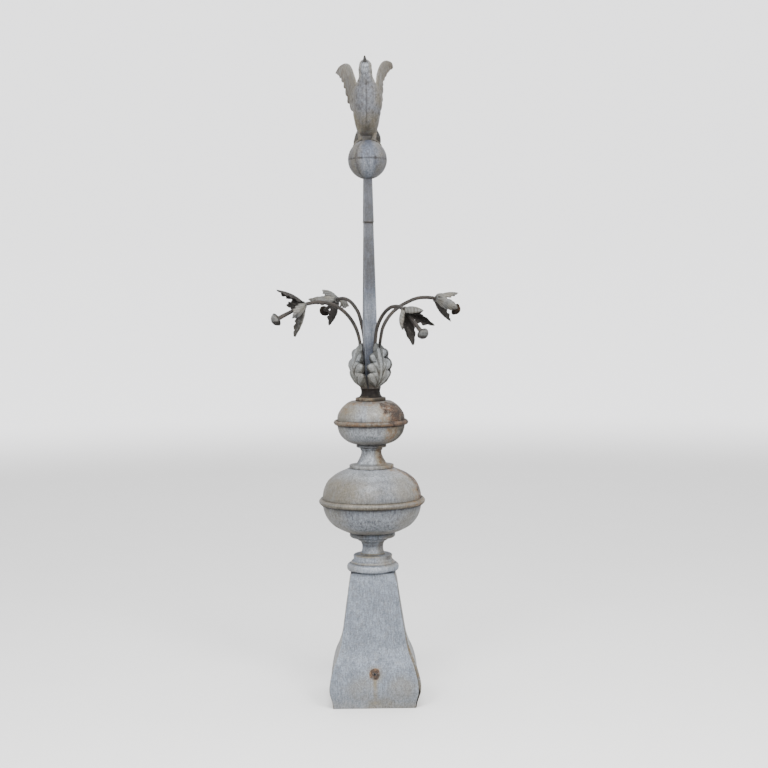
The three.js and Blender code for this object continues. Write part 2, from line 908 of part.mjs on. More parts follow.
// Round rod along a list of points with a radius at each
function rod(points, radii, sides) {
  const rings = [];
  let normal = null;
  points.forEach((p, i) => {
    const before = points[Math.max(i - 1, 0)];
    const after = points[Math.min(i + 1, points.length - 1)];
    const tangent = after.clone().sub(before).normalize();
    if (!normal) {
      normal = vec(0, 0, 1).cross(tangent);
      if (normal.length() < 0.05) {
        normal = vec(1, 0, 0);
      }
    }
    normal.addScaledVector(tangent, -normal.dot(tangent)).normalize();
    const across = tangent.clone().cross(normal);
    const ring = [];
    for (let k = 0; k < sides; k++) {
      const angle = (2 * Math.PI * k) / sides;
      ring.push(
        p
          .clone()
          .addScaledVector(normal, radii[i] * Math.cos(angle))
          .addScaledVector(across, radii[i] * Math.sin(angle))
      );
    }
    rings.push(ring);
  });
  return solidFromRings(rings);
}

// One leaf of a rosette: radial and forward run of the midrib, then half widths
const leafSteps = [0, 0.12, 0.27, 0.37, 0.51, 0.61, 0.76, 1];
const leafHalfWidth = [
  [0, 0.387],
  [0.12, 0.581],
  [0.27, 0.968],
  [0.37, 0.71],
  [0.51, 1],
  [0.61, 0.645],
  [0.76, 0.742],
  [1, 0.077],
];

// Radial and forward run of a leaf's midrib from the hub to its tip
function midrib(t, spread, length) {
  const sin = Math.sin(spread * rad);
  const cos = Math.cos(spread * rad);
  const swell = (0.08 + 0.16 * cos) * length;
  const p0 = [hubInnerRadius + 0.9, 0];
  const p2 = [length * sin, length * cos];
  const p1 = [p2[0] / 2 + swell * cos, p2[1] / 2 - swell * sin];
  const q = 1 - t;
  return [
    q * q * p0[0] + 2 * q * t * p1[0] + t * t * p2[0],
    q * q * p0[1] + 2 * q * t * p1[1] + t * t * p2[1],
  ];
}

function buildRosette(frame, arm) {
  const hubRing = turnedRing(
    [
      [hubInnerRadius, -1],
      [hubOuterRadius, -1],
      [hubOuterRadius, 1.4],
      [hubInnerRadius, 1.4],
    ],
    8
  );
  const basis = new THREE.Matrix4().makeBasis(frame.up, frame.axis.clone().cross(frame.up), frame.axis);
  hubRing.applyMatrix4(basis);
  hubRing.translate(frame.hub.x, frame.hub.y, frame.hub.z);
  let rosette = toManifold(hubRing);
  for (const [turnDegrees, spread, lengthShare, cupShare] of arm.leaves) {
    const length = lengthShare * leafLength;
    const turn = turnDegrees * rad;
    const radial = frame.up
      .clone()
      .multiplyScalar(Math.cos(turn))
      .addScaledVector(frame.side, Math.sin(turn));
    const across = frame.axis.clone().cross(radial);
    const inward = (u) => {
      const [r0, f0] = midrib(Math.max(u - 0.05, 0), spread, length);
      const [r1, f1] = midrib(Math.min(u + 0.05, 1), spread, length);
      return radial
        .clone()
        .multiplyScalar(-(f1 - f0))
        .addScaledVector(frame.axis, r1 - r0)
        .normalize();
    };
    const point = (u, v) => {
      const [r, f] = midrib(u, spread, length);
      const share = along(leafHalfWidth, u);
      const cup = leafCup * cupShare * share * v * v * Math.min(1, u / 0.25);
      return frame.hub
        .clone()
        .addScaledVector(radial, r)
        .addScaledVector(frame.axis, f)
        .addScaledVector(across, leafHalfWidthMax * share * v)
        .addScaledVector(inward(u), cup);
    };
    const leaf = sheet(point, inward, leafSteps, [-1, 0, 1], rosetteWall);
    rosette = rosette.add(toManifold(leaf));
  }
  return fromManifold(rosette);
}

function buildBud(frame, share) {
  const radius = budRadius * share;
  const profile = [
    [pistilEndRadius + 1, -2],
    [radius * 0.588, 0],
    [radius, budHeight * 0.1],
    [radius - 0.6, budHeight * 0.4],
    [radius * 0.735, budHeight * 0.78],
    [radius * 0.235, budHeight],
  ];
  const cap = turned(profile, 10);
  const basis = new THREE.Matrix4().makeBasis(frame.up, frame.axis.clone().cross(frame.up), frame.axis);
  cap.applyMatrix4(basis);
  cap.translate(frame.bud.x, frame.bud.y, frame.bud.z);
  return cap;
}

for (const [key, arm] of Object.entries(arms)) {
  const frame = armFrame(key, arm);
  const points = frame.path;
  const radii = points.map(() => stemRadius);
  points.push(frame.hub.clone());
  radii.push(stemRadius);
  points.push(frame.hub.clone().addScaledVector(frame.axis, 8));
  radii.push(stemRadius);
  const length = frame.bud.distanceTo(frame.hub);
  points.push(frame.hub.clone().addScaledVector(frame.axis, length * 0.45));
  radii.push(stemRadius + 0.4);
  points.push(frame.hub.clone().addScaledVector(frame.axis, length - 2 - fitGap));
  radii.push(pistilEndRadius);
  add(`stem_${key}`, rod(points, radii, 6), "rustedIron");
  add(`rosette_${key}`, buildRosette(frame, arm), "zincPale");
  add(`bud_${key}`, buildBud(frame, budShare[key]), "darkZinc");
}

export default group;
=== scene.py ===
import math

import bmesh
import bpy
import numpy as np
from mathutils import Matrix, Vector, noise


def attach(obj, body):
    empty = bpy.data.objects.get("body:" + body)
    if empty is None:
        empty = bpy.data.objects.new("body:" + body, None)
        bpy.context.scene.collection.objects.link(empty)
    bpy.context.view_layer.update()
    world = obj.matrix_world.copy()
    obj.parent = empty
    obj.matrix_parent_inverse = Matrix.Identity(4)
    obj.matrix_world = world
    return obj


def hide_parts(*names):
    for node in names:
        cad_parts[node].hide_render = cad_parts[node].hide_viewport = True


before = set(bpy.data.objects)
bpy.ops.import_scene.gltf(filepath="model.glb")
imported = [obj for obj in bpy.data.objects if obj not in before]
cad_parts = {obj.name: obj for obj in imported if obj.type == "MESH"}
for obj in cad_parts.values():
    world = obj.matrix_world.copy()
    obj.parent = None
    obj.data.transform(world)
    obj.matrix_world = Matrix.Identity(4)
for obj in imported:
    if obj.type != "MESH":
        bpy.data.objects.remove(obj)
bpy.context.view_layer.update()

mm = 0.001
tau = 2 * math.pi


# Small maths helpers
def along(table, t):
    xs = [row[0] for row in table]
    ys = [row[1] for row in table]
    return float(np.interp(t, xs, ys))


def smooth(a, b, t):
    t = min(max((t - a) / (b - a), 0.0), 1.0)
    return t * t * (3 - 2 * t)


def curve(points, count):
    # Smooth curve through the points, as many values in each point as it has
    pts = np.array(points, float)
    n = len(pts)
    gaps = np.sqrt(np.linalg.norm(np.diff(pts, axis=0), axis=1))
    knots = np.concatenate([[0], np.cumsum(gaps)])
    tangents = np.zeros_like(pts)
    for i in range(n):
        a = max(i - 1, 0)
        b = min(i + 1, n - 1)
        tangents[i] = (pts[b] - pts[a]) / (knots[b] - knots[a])
    out = []
    for t in np.linspace(0, knots[-1], count):
        i = min(int(np.searchsorted(knots, t, side="right")) - 1, n - 2)
        h = knots[i + 1] - knots[i]
        u = (t - knots[i]) / h
        a = (2 * u**3 - 3 * u**2 + 1) * pts[i] + (u**3 - 2 * u**2 + u) * h * tangents[i]
        b = (-2 * u**3 + 3 * u**2) * pts[i + 1] + (u**3 - u**2) * h * tangents[i + 1]
        out.append(a + b)
    return out


def unit(v):
    return v / np.linalg.norm(v)


def wobble(point, scale, seed=0.0):
    return noise.noise(Vector(point) * scale + Vector((seed, seed * 1.7, seed * 0.3)))


def spotMask(point, spots):
    # Strongest of the round stains at a point; each is centre, radius, strength
    best = 0.0
    for centre, radius, strength in spots:
        away = math.dist(point, centre) / radius
        best = max(best, strength * (1 - smooth(0.35, 1.0, away)))
    return best


def bandMask(angle, z, bands):
    # Strongest of the run-down stains; each is azimuth, half angle, low and high z, strength
    best = 0.0
    for azimuth, half, low, high, strength in bands:
        turn = abs((math.degrees(angle) - azimuth + 180) % 360 - 180)
        turn += 0.22 * half * wobble((z / 20, azimuth, 1.0), 1.0)
        side = 1 - smooth(half * 0.55, half * 1.2, turn)
        fade = (high - low) * 0.25
        rise = smooth(low - fade, low + fade, z) * (1 - smooth(high - fade, high + fade, z))
        best = max(best, strength * side * rise)
    return best


# Shader helpers
def link(tree, a, b):
    tree.links.new(a, b)


def makeGroup(name, inputs):
    # A group that gives a colour and three values; an input's default says what kind it is
    tree = bpy.data.node_groups.new(name, "ShaderNodeTree")
    tree.interface.new_socket(name="Vector", in_out="INPUT", socket_type="NodeSocketVector")
    for label, value in inputs.items():
        kind = "NodeSocketColor" if isinstance(value, tuple) else "NodeSocketFloat"
        tree.interface.new_socket(name=label, in_out="INPUT", socket_type=kind).default_value = value
    tree.interface.new_socket(name="Color", in_out="OUTPUT", socket_type="NodeSocketColor")
    for label in ("Roughness", "Metallic", "Height"):
        tree.interface.new_socket(name=label, in_out="OUTPUT", socket_type="NodeSocketFloat")
    return tree, tree.nodes.new("NodeGroupInput"), tree.nodes.new("NodeGroupOutput")


def noiseNode(tree, vector, scale, detail, rough=0.55):
    node = tree.nodes.new("ShaderNodeTexNoise")
    node.inputs["Scale"].default_value = scale
    node.inputs["Detail"].default_value = detail
    node.inputs["Roughness"].default_value = rough
    link(tree, vector, node.inputs["Vector"])
    return node.outputs["Fac"]


def stretchNode(tree, vector, sizes):
    node = tree.nodes.new("ShaderNodeMapping")
    node.inputs["Scale"].default_value = sizes
    link(tree, vector, node.inputs["Vector"])
    return node.outputs["Vector"]


def rangeNode(tree, value, low, high, outLow=0.0, outHigh=1.0):
    node = tree.nodes.new("ShaderNodeMapRange")
    node.interpolation_type = "SMOOTHSTEP"
    node.inputs["From Min"].default_value = low
    node.inputs["From Max"].default_value = high
    node.inputs["To Min"].default_value = outLow
    node.inputs["To Max"].default_value = outHigh
    link(tree, value, node.inputs["Value"])
    return node.outputs["Result"]


def mathNode(tree, kind, a, b):
    node = tree.nodes.new("ShaderNodeMath")
    node.operation = kind
    node.use_clamp = kind in ("MULTIPLY", "ADD")
    for index, value in enumerate((a, b)):
        if isinstance(value, (int, float)):
            node.inputs[index].default_value = value
        else:
            link(tree, value, node.inputs[index])
    return node.outputs[0]


def times(tree, a, b):
    return mathNode(tree, "MULTIPLY", a, b)


def plus(tree, a, b):
    return mathNode(tree, "ADD", a, b)


def mixColor(tree, factor, a, b, blend="MIX"):
    node = tree.nodes.new("ShaderNodeMix")
    node.data_type = "RGBA"
    node.blend_type = blend
    for socket, value in ((node.inputs[0], factor), (node.inputs[6], a), (node.inputs[7], b)):
        if isinstance(value, (int, float, tuple)):
            socket.default_value = value
        else:
            link(tree, value, socket)
    return node.outputs[2]


def rustLayer(tree, amount, base, vector, cloud, patches):
    # Rust from a thin golden edge to dark scale: how much of it shows, and its colour
    ragged = plus(tree, amount, rangeNode(tree, patches, 0.3, 0.7, -0.42, 0.42))
    start = rangeNode(tree, amount, 0.02, 0.3)
    cover = times(tree, rangeNode(tree, ragged, 0.1, 1.0), start)
    tone = mixColor(tree, rangeNode(tree, cloud, 0.38, 0.6), base, (0.015, 0.01, 0.0075, 1))
    specks = noiseNode(tree, vector, 420, 3, 0.6)
    tone = mixColor(tree, 1.0, tone, rangeNode(tree, specks, 0.35, 0.65, 0.4, 1.9), "MULTIPLY")
    thick = rangeNode(tree, amount, 0.25, 0.75)
    return cover, mixColor(tree, thick, (0.125, 0.077, 0.034, 1), tone)


# Weathered zinc: mottled patina, run-down streaks, grime and painted shade in hollows, rust stains, worn
# edges and painted highlights
def buildZincGroup():
    tree, source, result = makeGroup(
        "zincPatina",
        {
            "Light": (0.42, 0.44, 0.47, 1),
            "Dark": (0.24, 0.25, 0.27, 1),
            "Grime Color": (0.0075, 0.006, 0.005, 1),
            "Rust Color": (0.058, 0.031, 0.0155, 1),
            "Warm Color": (0.112, 0.097, 0.068, 1),
            "Mottle": 0.5,
            "Streak": 0.3,
            "Grime_and_shade": 0.0,
            "Rust": 0.0,
            "Warm": 0.0,
            "Wear": 0.0,
        },
    )
    get = source.outputs
    vector = get["Vector"]
    broad = noiseNode(tree, vector, 13, 4)
    cloud = noiseNode(tree, vector, 48, 6, 0.68)
    grain = noiseNode(tree, vector, 260, 4, 0.75)
    runs = noiseNode(tree, stretchNode(tree, vector, (190, 190, 6)), 1.0, 4, 0.6)
    hair = noiseNode(tree, stretchNode(tree, vector, (330, 330, 30)), 1.0, 3, 0.6)
    patches = noiseNode(tree, vector, 85, 6, 0.78)

    broadMask = rangeNode(tree, broad, 0.36, 0.64)
    cloudMask = rangeNode(tree, cloud, 0.36, 0.66)
    mottle = plus(tree, times(tree, broadMask, 0.45), times(tree, cloudMask, 0.55))
    color = mixColor(tree, times(tree, mottle, get["Mottle"]), get["Light"], get["Dark"])
    warmBase = times(tree, rangeNode(tree, patches, 0.46, 0.7), 0.22)
    color = mixColor(tree, warmBase, color, get["Warm Color"])

    # Paler where the wear mask is set: real wear and painted highlights alike
    wornAndLit = times(tree, get["Wear"], rangeNode(tree, cloud, 0.3, 0.66, 0.25, 1.0))
    color = mixColor(tree, wornAndLit, color, (0.19, 0.203, 0.22, 1))
    streak = times(tree, rangeNode(tree, runs, 0.46, 0.68), get["Streak"])
    color = mixColor(tree, streak, color, get["Dark"])
    color = mixColor(tree, 1.0, color, rangeNode(tree, hair, 0.3, 0.7, 0.8, 1.2), "MULTIPLY")
    color = mixColor(tree, 1.0, color, rangeNode(tree, grain, 0.3, 0.7, 0.66, 1.32), "MULTIPLY")

    warm = times(tree, get["Warm"], rangeNode(tree, cloud, 0.3, 0.66, 0.5, 1.0))
    warmGrain = rangeNode(tree, grain, 0.3, 0.7, 0.7, 1.25)
    color = mixColor(tree, warm, color, mixColor(tree, 1.0, get["Warm Color"], warmGrain, "MULTIPLY"))

    rust, rustTone = rustLayer(tree, get["Rust"], get["Rust Color"], vector, cloud, patches)
    color = mixColor(tree, rust, color, rustTone)

    # Darker where the grime mask is set: real grime and painted shade alike
    grime_and_shade = times(tree, get["Grime_and_shade"], rangeNode(tree, patches, 0.32, 0.6, 0.45, 1.0))
    color = mixColor(tree, grime_and_shade, color, get["Grime Color"])
    link(tree, color, result.inputs["Color"])

    rough = rangeNode(tree, cloud, 0.3, 0.7, 0.5, 0.68)
    stained = mathNode(tree, "MAXIMUM", grime_and_shade, rust)
    rough = plus(tree, rough, times(tree, stained, 0.22))
    link(tree, rough, result.inputs["Roughness"])
    bare = mathNode(tree, "SUBTRACT", 1.0, stained)
    link(tree, times(tree, bare, 0.3), result.inputs["Metallic"])
    height = times(tree, grain, 0.4)
    height = plus(tree, height, times(tree, cloud, 0.4))
    height = plus(tree, height, times(tree, rust, 0.2))
    link(tree, height, result.inputs["Height"])
    return tree


# Rusted rod iron: dark brown scale with paler rust bloom
def buildIronGroup():
    tree, source, result = makeGroup(
        "rustedRod",
        {
            "Scale Color": (0.0145, 0.0125, 0.0112, 1),
            "Bloom Color": (0.034, 0.0265, 0.0205, 1),
            "Bloom": 0.5,
            "Wear": 0.0,
        },
    )
    vector = source.outputs["Vector"]
    coarse = noiseNode(tree, vector, 60, 5, 0.65)
    fine = noiseNode(tree, vector, 380, 4, 0.7)
    bloom = times(tree, rangeNode(tree, coarse, 0.42, 0.7), source.outputs["Bloom"])
    color = mixColor(tree, bloom, source.outputs["Scale Color"], source.outputs["Bloom Color"])
    color = mixColor(tree, 1.0, color, rangeNode(tree, fine, 0.3, 0.7, 0.72, 1.25), "MULTIPLY")
    wornAndLit = times(tree, source.outputs["Wear"], rangeNode(tree, fine, 0.4, 0.6))
    color = mixColor(tree, wornAndLit, color, (0.11, 0.1, 0.096, 1))
    link(tree, color, result.inputs["Color"])
    link(tree, rangeNode(tree, coarse, 0.3, 0.7, 0.62, 0.88), result.inputs["Roughness"])
    link(tree, rangeNode(tree, coarse, 0.3, 0.7, 0.35, 0.1), result.inputs["Metallic"])
    link(tree, times(tree, plus(tree, fine, coarse), 0.5), result.inputs["Height"])
    return tree


zincGroup = buildZincGroup()
ironGroup = buildIronGroup()


def attributeNode(tree, name):
    node = tree.nodes.new("ShaderNodeAttribute")
    node.attribute_name = name
    return node.outputs["Fac"]


def finishMaterial(name, group, settings, bump, gloss):
    material = bpy.data.materials.new(name)
    material.use_nodes = True
    tree = material.node_tree
    shader = tree.nodes["Principled BSDF"]
    place = tree.nodes.new("ShaderNodeTexCoord")
    effect = tree.nodes.new("ShaderNodeGroup")
    effect.node_tree = group
    link(tree, place.outputs["Object"], effect.inputs["Vector"])
    for label, value in settings.items():
        effect.inputs[label].default_value = value
    for label in ("Grime_and_shade", "Rust", "Warm", "Wear"):
        if label in effect.inputs:
            link(tree, attributeNode(tree, label.lower()), effect.inputs[label])
    link(tree, effect.outputs["Color"], shader.inputs["Base Color"])
    link(tree, effect.outputs["Roughness"], shader.inputs["Roughness"])
    link(tree, effect.outputs["Metallic"], shader.inputs["Metallic"])
    shader.inputs["Specular IOR Level"].default_value = gloss
    relief = tree.nodes.new("ShaderNodeBump")
    relief.inputs["Strength"].default_value = bump
    relief.inputs["Distance"].default_value = 0.0012
    link(tree, effect.outputs["Height"], relief.inputs["Height"])
    link(tree, relief.outputs["Normal"], shader.inputs["Normal"])
    return material


# Light colour, dark colour, mottle and streak of each zinc finish
zincLooks = {
    "zincBlue": ((0.112, 0.127, 0.15, 1), (0.052, 0.059, 0.072, 1), 0.5, 0.25),
    "zincShaft": ((0.046, 0.053, 0.07, 1), (0.014, 0.0155, 0.02, 1), 0.6, 0.45),
    "zincWarm": ((0.1, 0.104, 0.11, 1), (0.038, 0.04, 0.045, 1), 0.55, 0.5),
    "zincStreaky": ((0.095, 0.104, 0.118, 1), (0.032, 0.034, 0.04, 1), 0.28, 0.8),
    "zincBead": ((0.095, 0.085, 0.068, 1), (0.034, 0.028, 0.021, 1), 0.7, 0.2),
    "zincBird": ((0.07, 0.075, 0.088, 1), (0.019, 0.0165, 0.0135, 1), 0.65, 0.4),
    "zincLeaf": ((0.08, 0.083, 0.083, 1), (0.022, 0.0215, 0.02, 1), 0.7, 0.3),
    "zincCalyx": ((0.066, 0.07, 0.069, 1), (0.025, 0.026, 0.0245, 1), 0.6, 0.3),
    "zincBlack": ((0.0062, 0.0054, 0.0055, 1), (0.002, 0.0018, 0.0018, 1), 0.8, 0.3),
    "zincRusty": ((0.045, 0.034, 0.02, 1), (0.01, 0.007, 0.0045, 1), 0.9, 0.3),
}
ironLooks = {
    "ironStem": {"Bloom": 0.6},
    "ironBud": {"Bloom": 0.35, "Scale Color": (0.012, 0.0092, 0.008, 1)},
}
zincBump = 0.45
ironBump = 0.7
plainGloss = 0.25
blackGloss = 0.06
materials = {}
for lookName, look in zincLooks.items():
    values = dict(zip(("Light", "Dark", "Mottle", "Streak"), look))
    gloss = blackGloss if lookName == "zincBlack" else plainGloss
    materials[lookName] = finishMaterial(lookName, zincGroup, values, zincBump, gloss)
for lookName, look in ironLooks.items():
    materials[lookName] = finishMaterial(lookName, ironGroup, look, ironBump, plainGloss)
print("materials built")


# Mesh helpers
def addObject(name, data):
    item = bpy.data.objects.new(name, data)
    bpy.context.scene.collection.objects.link(item)
    return item


def spokes(first, second, sides):
    # Unit directions round an axis, from the first towards the second
    turns = [tau * k / sides for k in range(sides)]
    return [first * math.cos(turn) + second * math.sin(turn) for turn in turns]


class Shape:
    def __init__(self):
        self.points = []
        self.faces = []
        self.masks = {"grime_and_shade": [], "rust": [], "warm": [], "wear": []}

    def addPoint(self, point, grime_and_shade=0.0, rust=0.0, wear=0.0, warm=0.0):
        self.points.append(tuple(point))
        self.masks["grime_and_shade"].append(grime_and_shade)
        self.masks["rust"].append(rust)
        self.masks["warm"].append(warm)
        self.masks["wear"].append(wear)
        return len(self.points) - 1

    def addGrid(self, grid, closeU=False, closeV=False, flip=False):
        rows = len(grid)
        cols = len(grid[0])
        for i in range(rows if closeU else rows - 1):
            for j in range(cols if closeV else cols - 1):
                a = grid[i][j]
                b = grid[(i + 1) % rows][j]
                c = grid[(i + 1) % rows][(j + 1) % cols]
                d = grid[i][(j + 1) % cols]
                self.faces.append((a, d, c, b) if flip else (a, b, c, d))

    def addCap(self, ring, flip=False):
        middle = np.mean([self.points[i] for i in ring], axis=0)
        centre = self.addPoint(middle, self.masks["grime_and_shade"][ring[0]], self.masks["rust"][ring[0]])
        for j in range(len(ring)):
            k = (j + 1) % len(ring)
            self.faces.append((centre, ring[k], ring[j]) if flip else (centre, ring[j], ring[k]))

    def addTube(self, rings):
        # Joins closed rings one after another and caps both ends
        self.addGrid(rings, closeV=True)
        self.addCap(rings[0], flip=True)
        self.addCap(rings[-1])

    def addSheet(self, front, back, flip=False):
        # Joins the two faces of a sheet and closes its four edges
        self.addGrid(front, flip=flip)
        self.addGrid(back, flip=not flip)
        for column in (0, -1):
            edges = [[row[column] for row in face] for face in (front, back)]
            self.addGrid(edges, flip=(column == -1) != flip)
        for end in (0, -1):
            self.addGrid([front[end], back[end]], flip=(end == 0) != flip)


def nodeName(name):
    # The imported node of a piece, as in foot_moulding for footMoulding
    return "".join("_" + letter.lower() if letter.isupper() else letter for letter in name)


def place(shape, name, material, slot, autoSmooth, node=None):
    mesh = bpy.data.meshes.new(name)
    mesh.from_pydata(shape.points, [], shape.faces)
    for label, values in shape.masks.items():
        layer = mesh.attributes.new(label, "FLOAT", "POINT")
        layer.data.foreach_set("value", np.array(values, np.float32))
    work = bmesh.new()
    work.from_mesh(mesh)
    bmesh.ops.recalc_face_normals(work, faces=work.faces)
    for face in work.faces:
        face.smooth = True
    for edge in work.edges:
        if len(edge.link_faces) == 2 and edge.calc_face_angle(0) > math.radians(autoSmooth):
            edge.smooth = False
    work.to_mesh(mesh)
    work.free()
    mesh.materials.append(materials[material])
    item = addObject(name, mesh)
    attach(item, "root")
    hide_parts(node or nodeName(name))
    return item


def turnedShape(profile, segments, dent, seed, grime_and_shade, stains):
    # Revolves [radius, height] in millimetres; grime is a table by height of dirt and painted shade in the
    # creases; stains are bands of rust, warm film, painted highlight and shade (painted shade, and on the
    # ball dark seam lines)
    rust, warm, pale, shade = (stains.get(kind, ()) for kind in ("rust", "warm", "pale", "shade"))
    shape = Shape()
    grid = []
    for radius, z in profile:
        ring = []
        for j in range(segments):
            angle = tau * j / segments
            around = (math.cos(angle), math.sin(angle))
            r = radius - dent * (0.5 + 0.5 * wobble((*around, z / 60), 1.3, seed))
            drift = 1 + 0.5 * wobble((around[0] * 3, around[1] * 3, z / 90), 1.0, seed + 3)
            dirtAndShade = min(max(along(grime_and_shade, z) * drift, bandMask(angle, z, shade)), 1)
            point = (r * mm * around[0], r * mm * around[1], z * mm)
            # Painted highlight: the pale bands lighten the lit front through the wear mask
            rusty, light, film = (bandMask(angle, z, bands) for bands in (rust, pale, warm))
            ring.append(shape.addPoint(point, dirtAndShade, rusty, light, film))
        grid.append(ring)
    shape.addTube(grid)
    return shape


# Hollow sheet base with the opened corner seam
baseSettings = {
    "wall": 1.6,
    "height": 333,
    # Width and top of the turned-in hem, and how far the opened edge leans in
    "hem": (5.0, 4.5),
    "lip": 9.5,
    "levels": [
        (0, 104), (16, 106.8), (30, 110.5), (42, 113), (56, 113), (78, 109.6), (100, 104), (114, 99),
        (128, 93), (148, 86.4), (169, 82), (218, 74.9), (268, 67.2), (300, 63), (333, 56),
    ],
    "sprung": [(0, 1.6), (34, 4), (64, 7.4), (96, 7), (128, 6.4), (169, 3), (200, 0.4), (333, 0.4)],
    "plateHalf": 53.6,
    "plateLevels": (331.2, 333),
    # Nail hole as x, z and radius
    "nail": (2, 88, 2.5),
    # Rust round the nail hole, in metres from its middle
    "ring": (0.0118, 0.0168),
    "films": [
        ((0.002, -0.109, 0.088), 0.03, 0.6), ((0.002, -0.104, 0.006), 0.035, 0.8),
        ((0.03, -0.104, 0.004), 0.04, 0.6), ((-0.03, -0.112, 0.05), 0.05, 0.4),
        ((0.07, -0.11, 0.05), 0.05, 0.45),
    ],
}


def addStraight(path, stop, steps):
    start = np.array(path[-1])
    for k in range(1, steps + 1):
        path.append(tuple(start + (np.array(stop) - start) * k / steps))


def basePerimeter(half, out, inset, lip):
    # Points round the sheet from the right sheet's front edge to the front sheet's right edge
    h = half - inset
    corner = max(2.2 - inset * 0.6, 0.6)
    side = h + out
    path = [(side - lip, -h + 3 + lip * 0.25), (side - lip * 0.5, -h + 2.6 + lip * 0.1), (side, -h + 2.5)]
    path += [(h + out * 0.96, -h + 12), (h + out * 0.55, -h + 45), (h + out * 0.1, -h + 90)]
    stops = [np.array(stop) for stop in (path[-1], (h, h), (-h, h), (-h, -h), (h - 0.4, -h))]
    for a, b, c in zip(stops, stops[1:], stops[2:]):
        near = b + corner * unit(a - b)
        far = b + corner * unit(c - b)
        addStraight(path, near, 22)
        for t in (0.25, 0.5, 0.75):
            path.append(tuple((1 - t) ** 2 * near + 2 * t * (1 - t) * b + t * t * far))
        path.append(tuple(far))
    addStraight(path, stops[-1], 70)
    return path


def baseMasks(x, y, z, point, half, inside, seamEdge):
    # Grime and painted shade, rust, wear and warm film of the sheet
    s = baseSettings
    low = 1 - smooth(0, 34, z)
    rightFoot = low * smooth(-20, 80, x)
    # Painted shade: the inside is painted dark, and the outside darkens over its top 8 mm under the moulding
    if inside:
        grime_and_shade = 0.75
    elif z > s["height"] - 8:
        grime_and_shade = 0.3 * smooth(s["height"] - 8, s["height"], z)
    else:
        grime_and_shade = 0.02 * low + 0.08 * rightFoot + 0.25 * seamEdge
    onFront = y < -80
    drip = max(0, 1 - abs(x - 2.5 + 2 * wobble((0, 0, z / 30), 1.0)) / 9) * (z < 84) * onFront
    warm = 0.42 * low + 0.2 * rightFoot + 0.5 * (x < -half + 1.5) + 0.45 * (x > half - 2)
    warm = max(warm, 1.3 * drip, spotMask(point, s["films"]), 0.9 * seamEdge)
    fromNail = math.hypot(point[0] - s["nail"][0] * mm, point[2] - s["nail"][1] * mm)
    rust = max(onFront * (1 - smooth(*s["ring"], fromNail)), 0.28 * seamEdge)
    onCorner = min(abs(abs(x) - abs(y)), 3) / 3
    wear = max(0.25 * (1 - onCorner), 0.42 * (1 - smooth(30, 90, z)))
    return grime_and_shade, rust, wear, min(warm, 1)


def addTopPlate(shape):
    s = baseSettings
    plate = []
    for z in s["plateLevels"]:
        for x, y in ((1, -1), (1, 1), (-1, 1), (-1, -1)):
            corner = (x * s["plateHalf"] * mm, y * s["plateHalf"] * mm, z * mm)
            plate.append(shape.addPoint(corner, 0.5))
    shape.faces.append(tuple(plate[4:]))
    shape.faces.append(tuple(plate[3::-1]))
    for k in range(4):
        shape.faces.append((plate[k], plate[(k + 1) % 4], plate[4 + (k + 1) % 4], plate[4 + k]))


def drillNailHole(item):
    x, z, radius = (value * mm for value in baseSettings["nail"])
    drill = bpy.data.meshes.new("drill")
    work = bmesh.new()
    turn = Matrix.Translation((x, -0.105, z)) @ Matrix.Rotation(math.pi / 2, 4, "X")
    bmesh.ops.create_cone(
        work, cap_ends=True, segments=20, radius1=radius, radius2=radius, depth=0.05, matrix=turn
    )
    work.to_mesh(drill)
    work.free()
    cutter = addObject("drill", drill)
    cut = item.modifiers.new("nailHole", "BOOLEAN")
    cut.object = cutter
    cut.solver = "EXACT"
    bpy.context.view_layer.update()
    done = bpy.data.meshes.new_from_object(item.evaluated_get(bpy.context.evaluated_depsgraph_get()))
    item.modifiers.clear()
    item.data = done
    bpy.data.objects.remove(cutter)
    # Painted shade: the wall and rim of the nail hole are painted fully dark
    grime_and_shade = done.attributes["grime_and_shade"]
    for vertex in done.vertices:
        if math.hypot(vertex.co.x - x, vertex.co.z - z) < 0.0034 and vertex.co.y < -0.09:
            grime_and_shade.data[vertex.index].value = 1.0


def buildBase():
    s = baseSettings
    top = s["height"]
    heights = [0, 1.5, 4, 5.2, 7] + list(np.linspace(10, top - 1.4, 104)) + [top]
    levels = curve(s["levels"], 400)
    hemWidth, hemTop = s["hem"]
    shape = Shape()
    outer = []
    inner = []
    for z in heights:
        half = along(levels, z)
        out = along(s["sprung"], z)
        lip = s["lip"] * smooth(40, 58, z) * (1 - smooth(150, 205, z)) + 0.2
        fade = smooth(0, 20, z) * (1 - smooth(300, top, z))
        for inset, rows in ((0, outer), (hemWidth if z < hemTop else s["wall"], inner)):
            ring = []
            for index, (x, y) in enumerate(basePerimeter(half, out, inset, lip)):
                dip = 0.9 * wobble((x / 60, y / 60, z / 70), 1.0, 3.1)
                dip += 0.25 * wobble((x / 18, y / 18, z / 18), 1.0, 8.2)
                share = 1 - 0.006 * (dip + 0.9) * fade
                point = (x * share * mm, y * share * mm, z * mm)
                masks = baseMasks(x, y, z, point, half, inset > 0, index < 3)
                ring.append(shape.addPoint(point, *masks))
            rows.append(ring)
    shape.addSheet(outer, inner)
    addTopPlate(shape)
    drillNailHole(place(shape, "baseSheet", "zincBlue", "zinc_grey", 50, "base"))


buildBase()
print("base built")
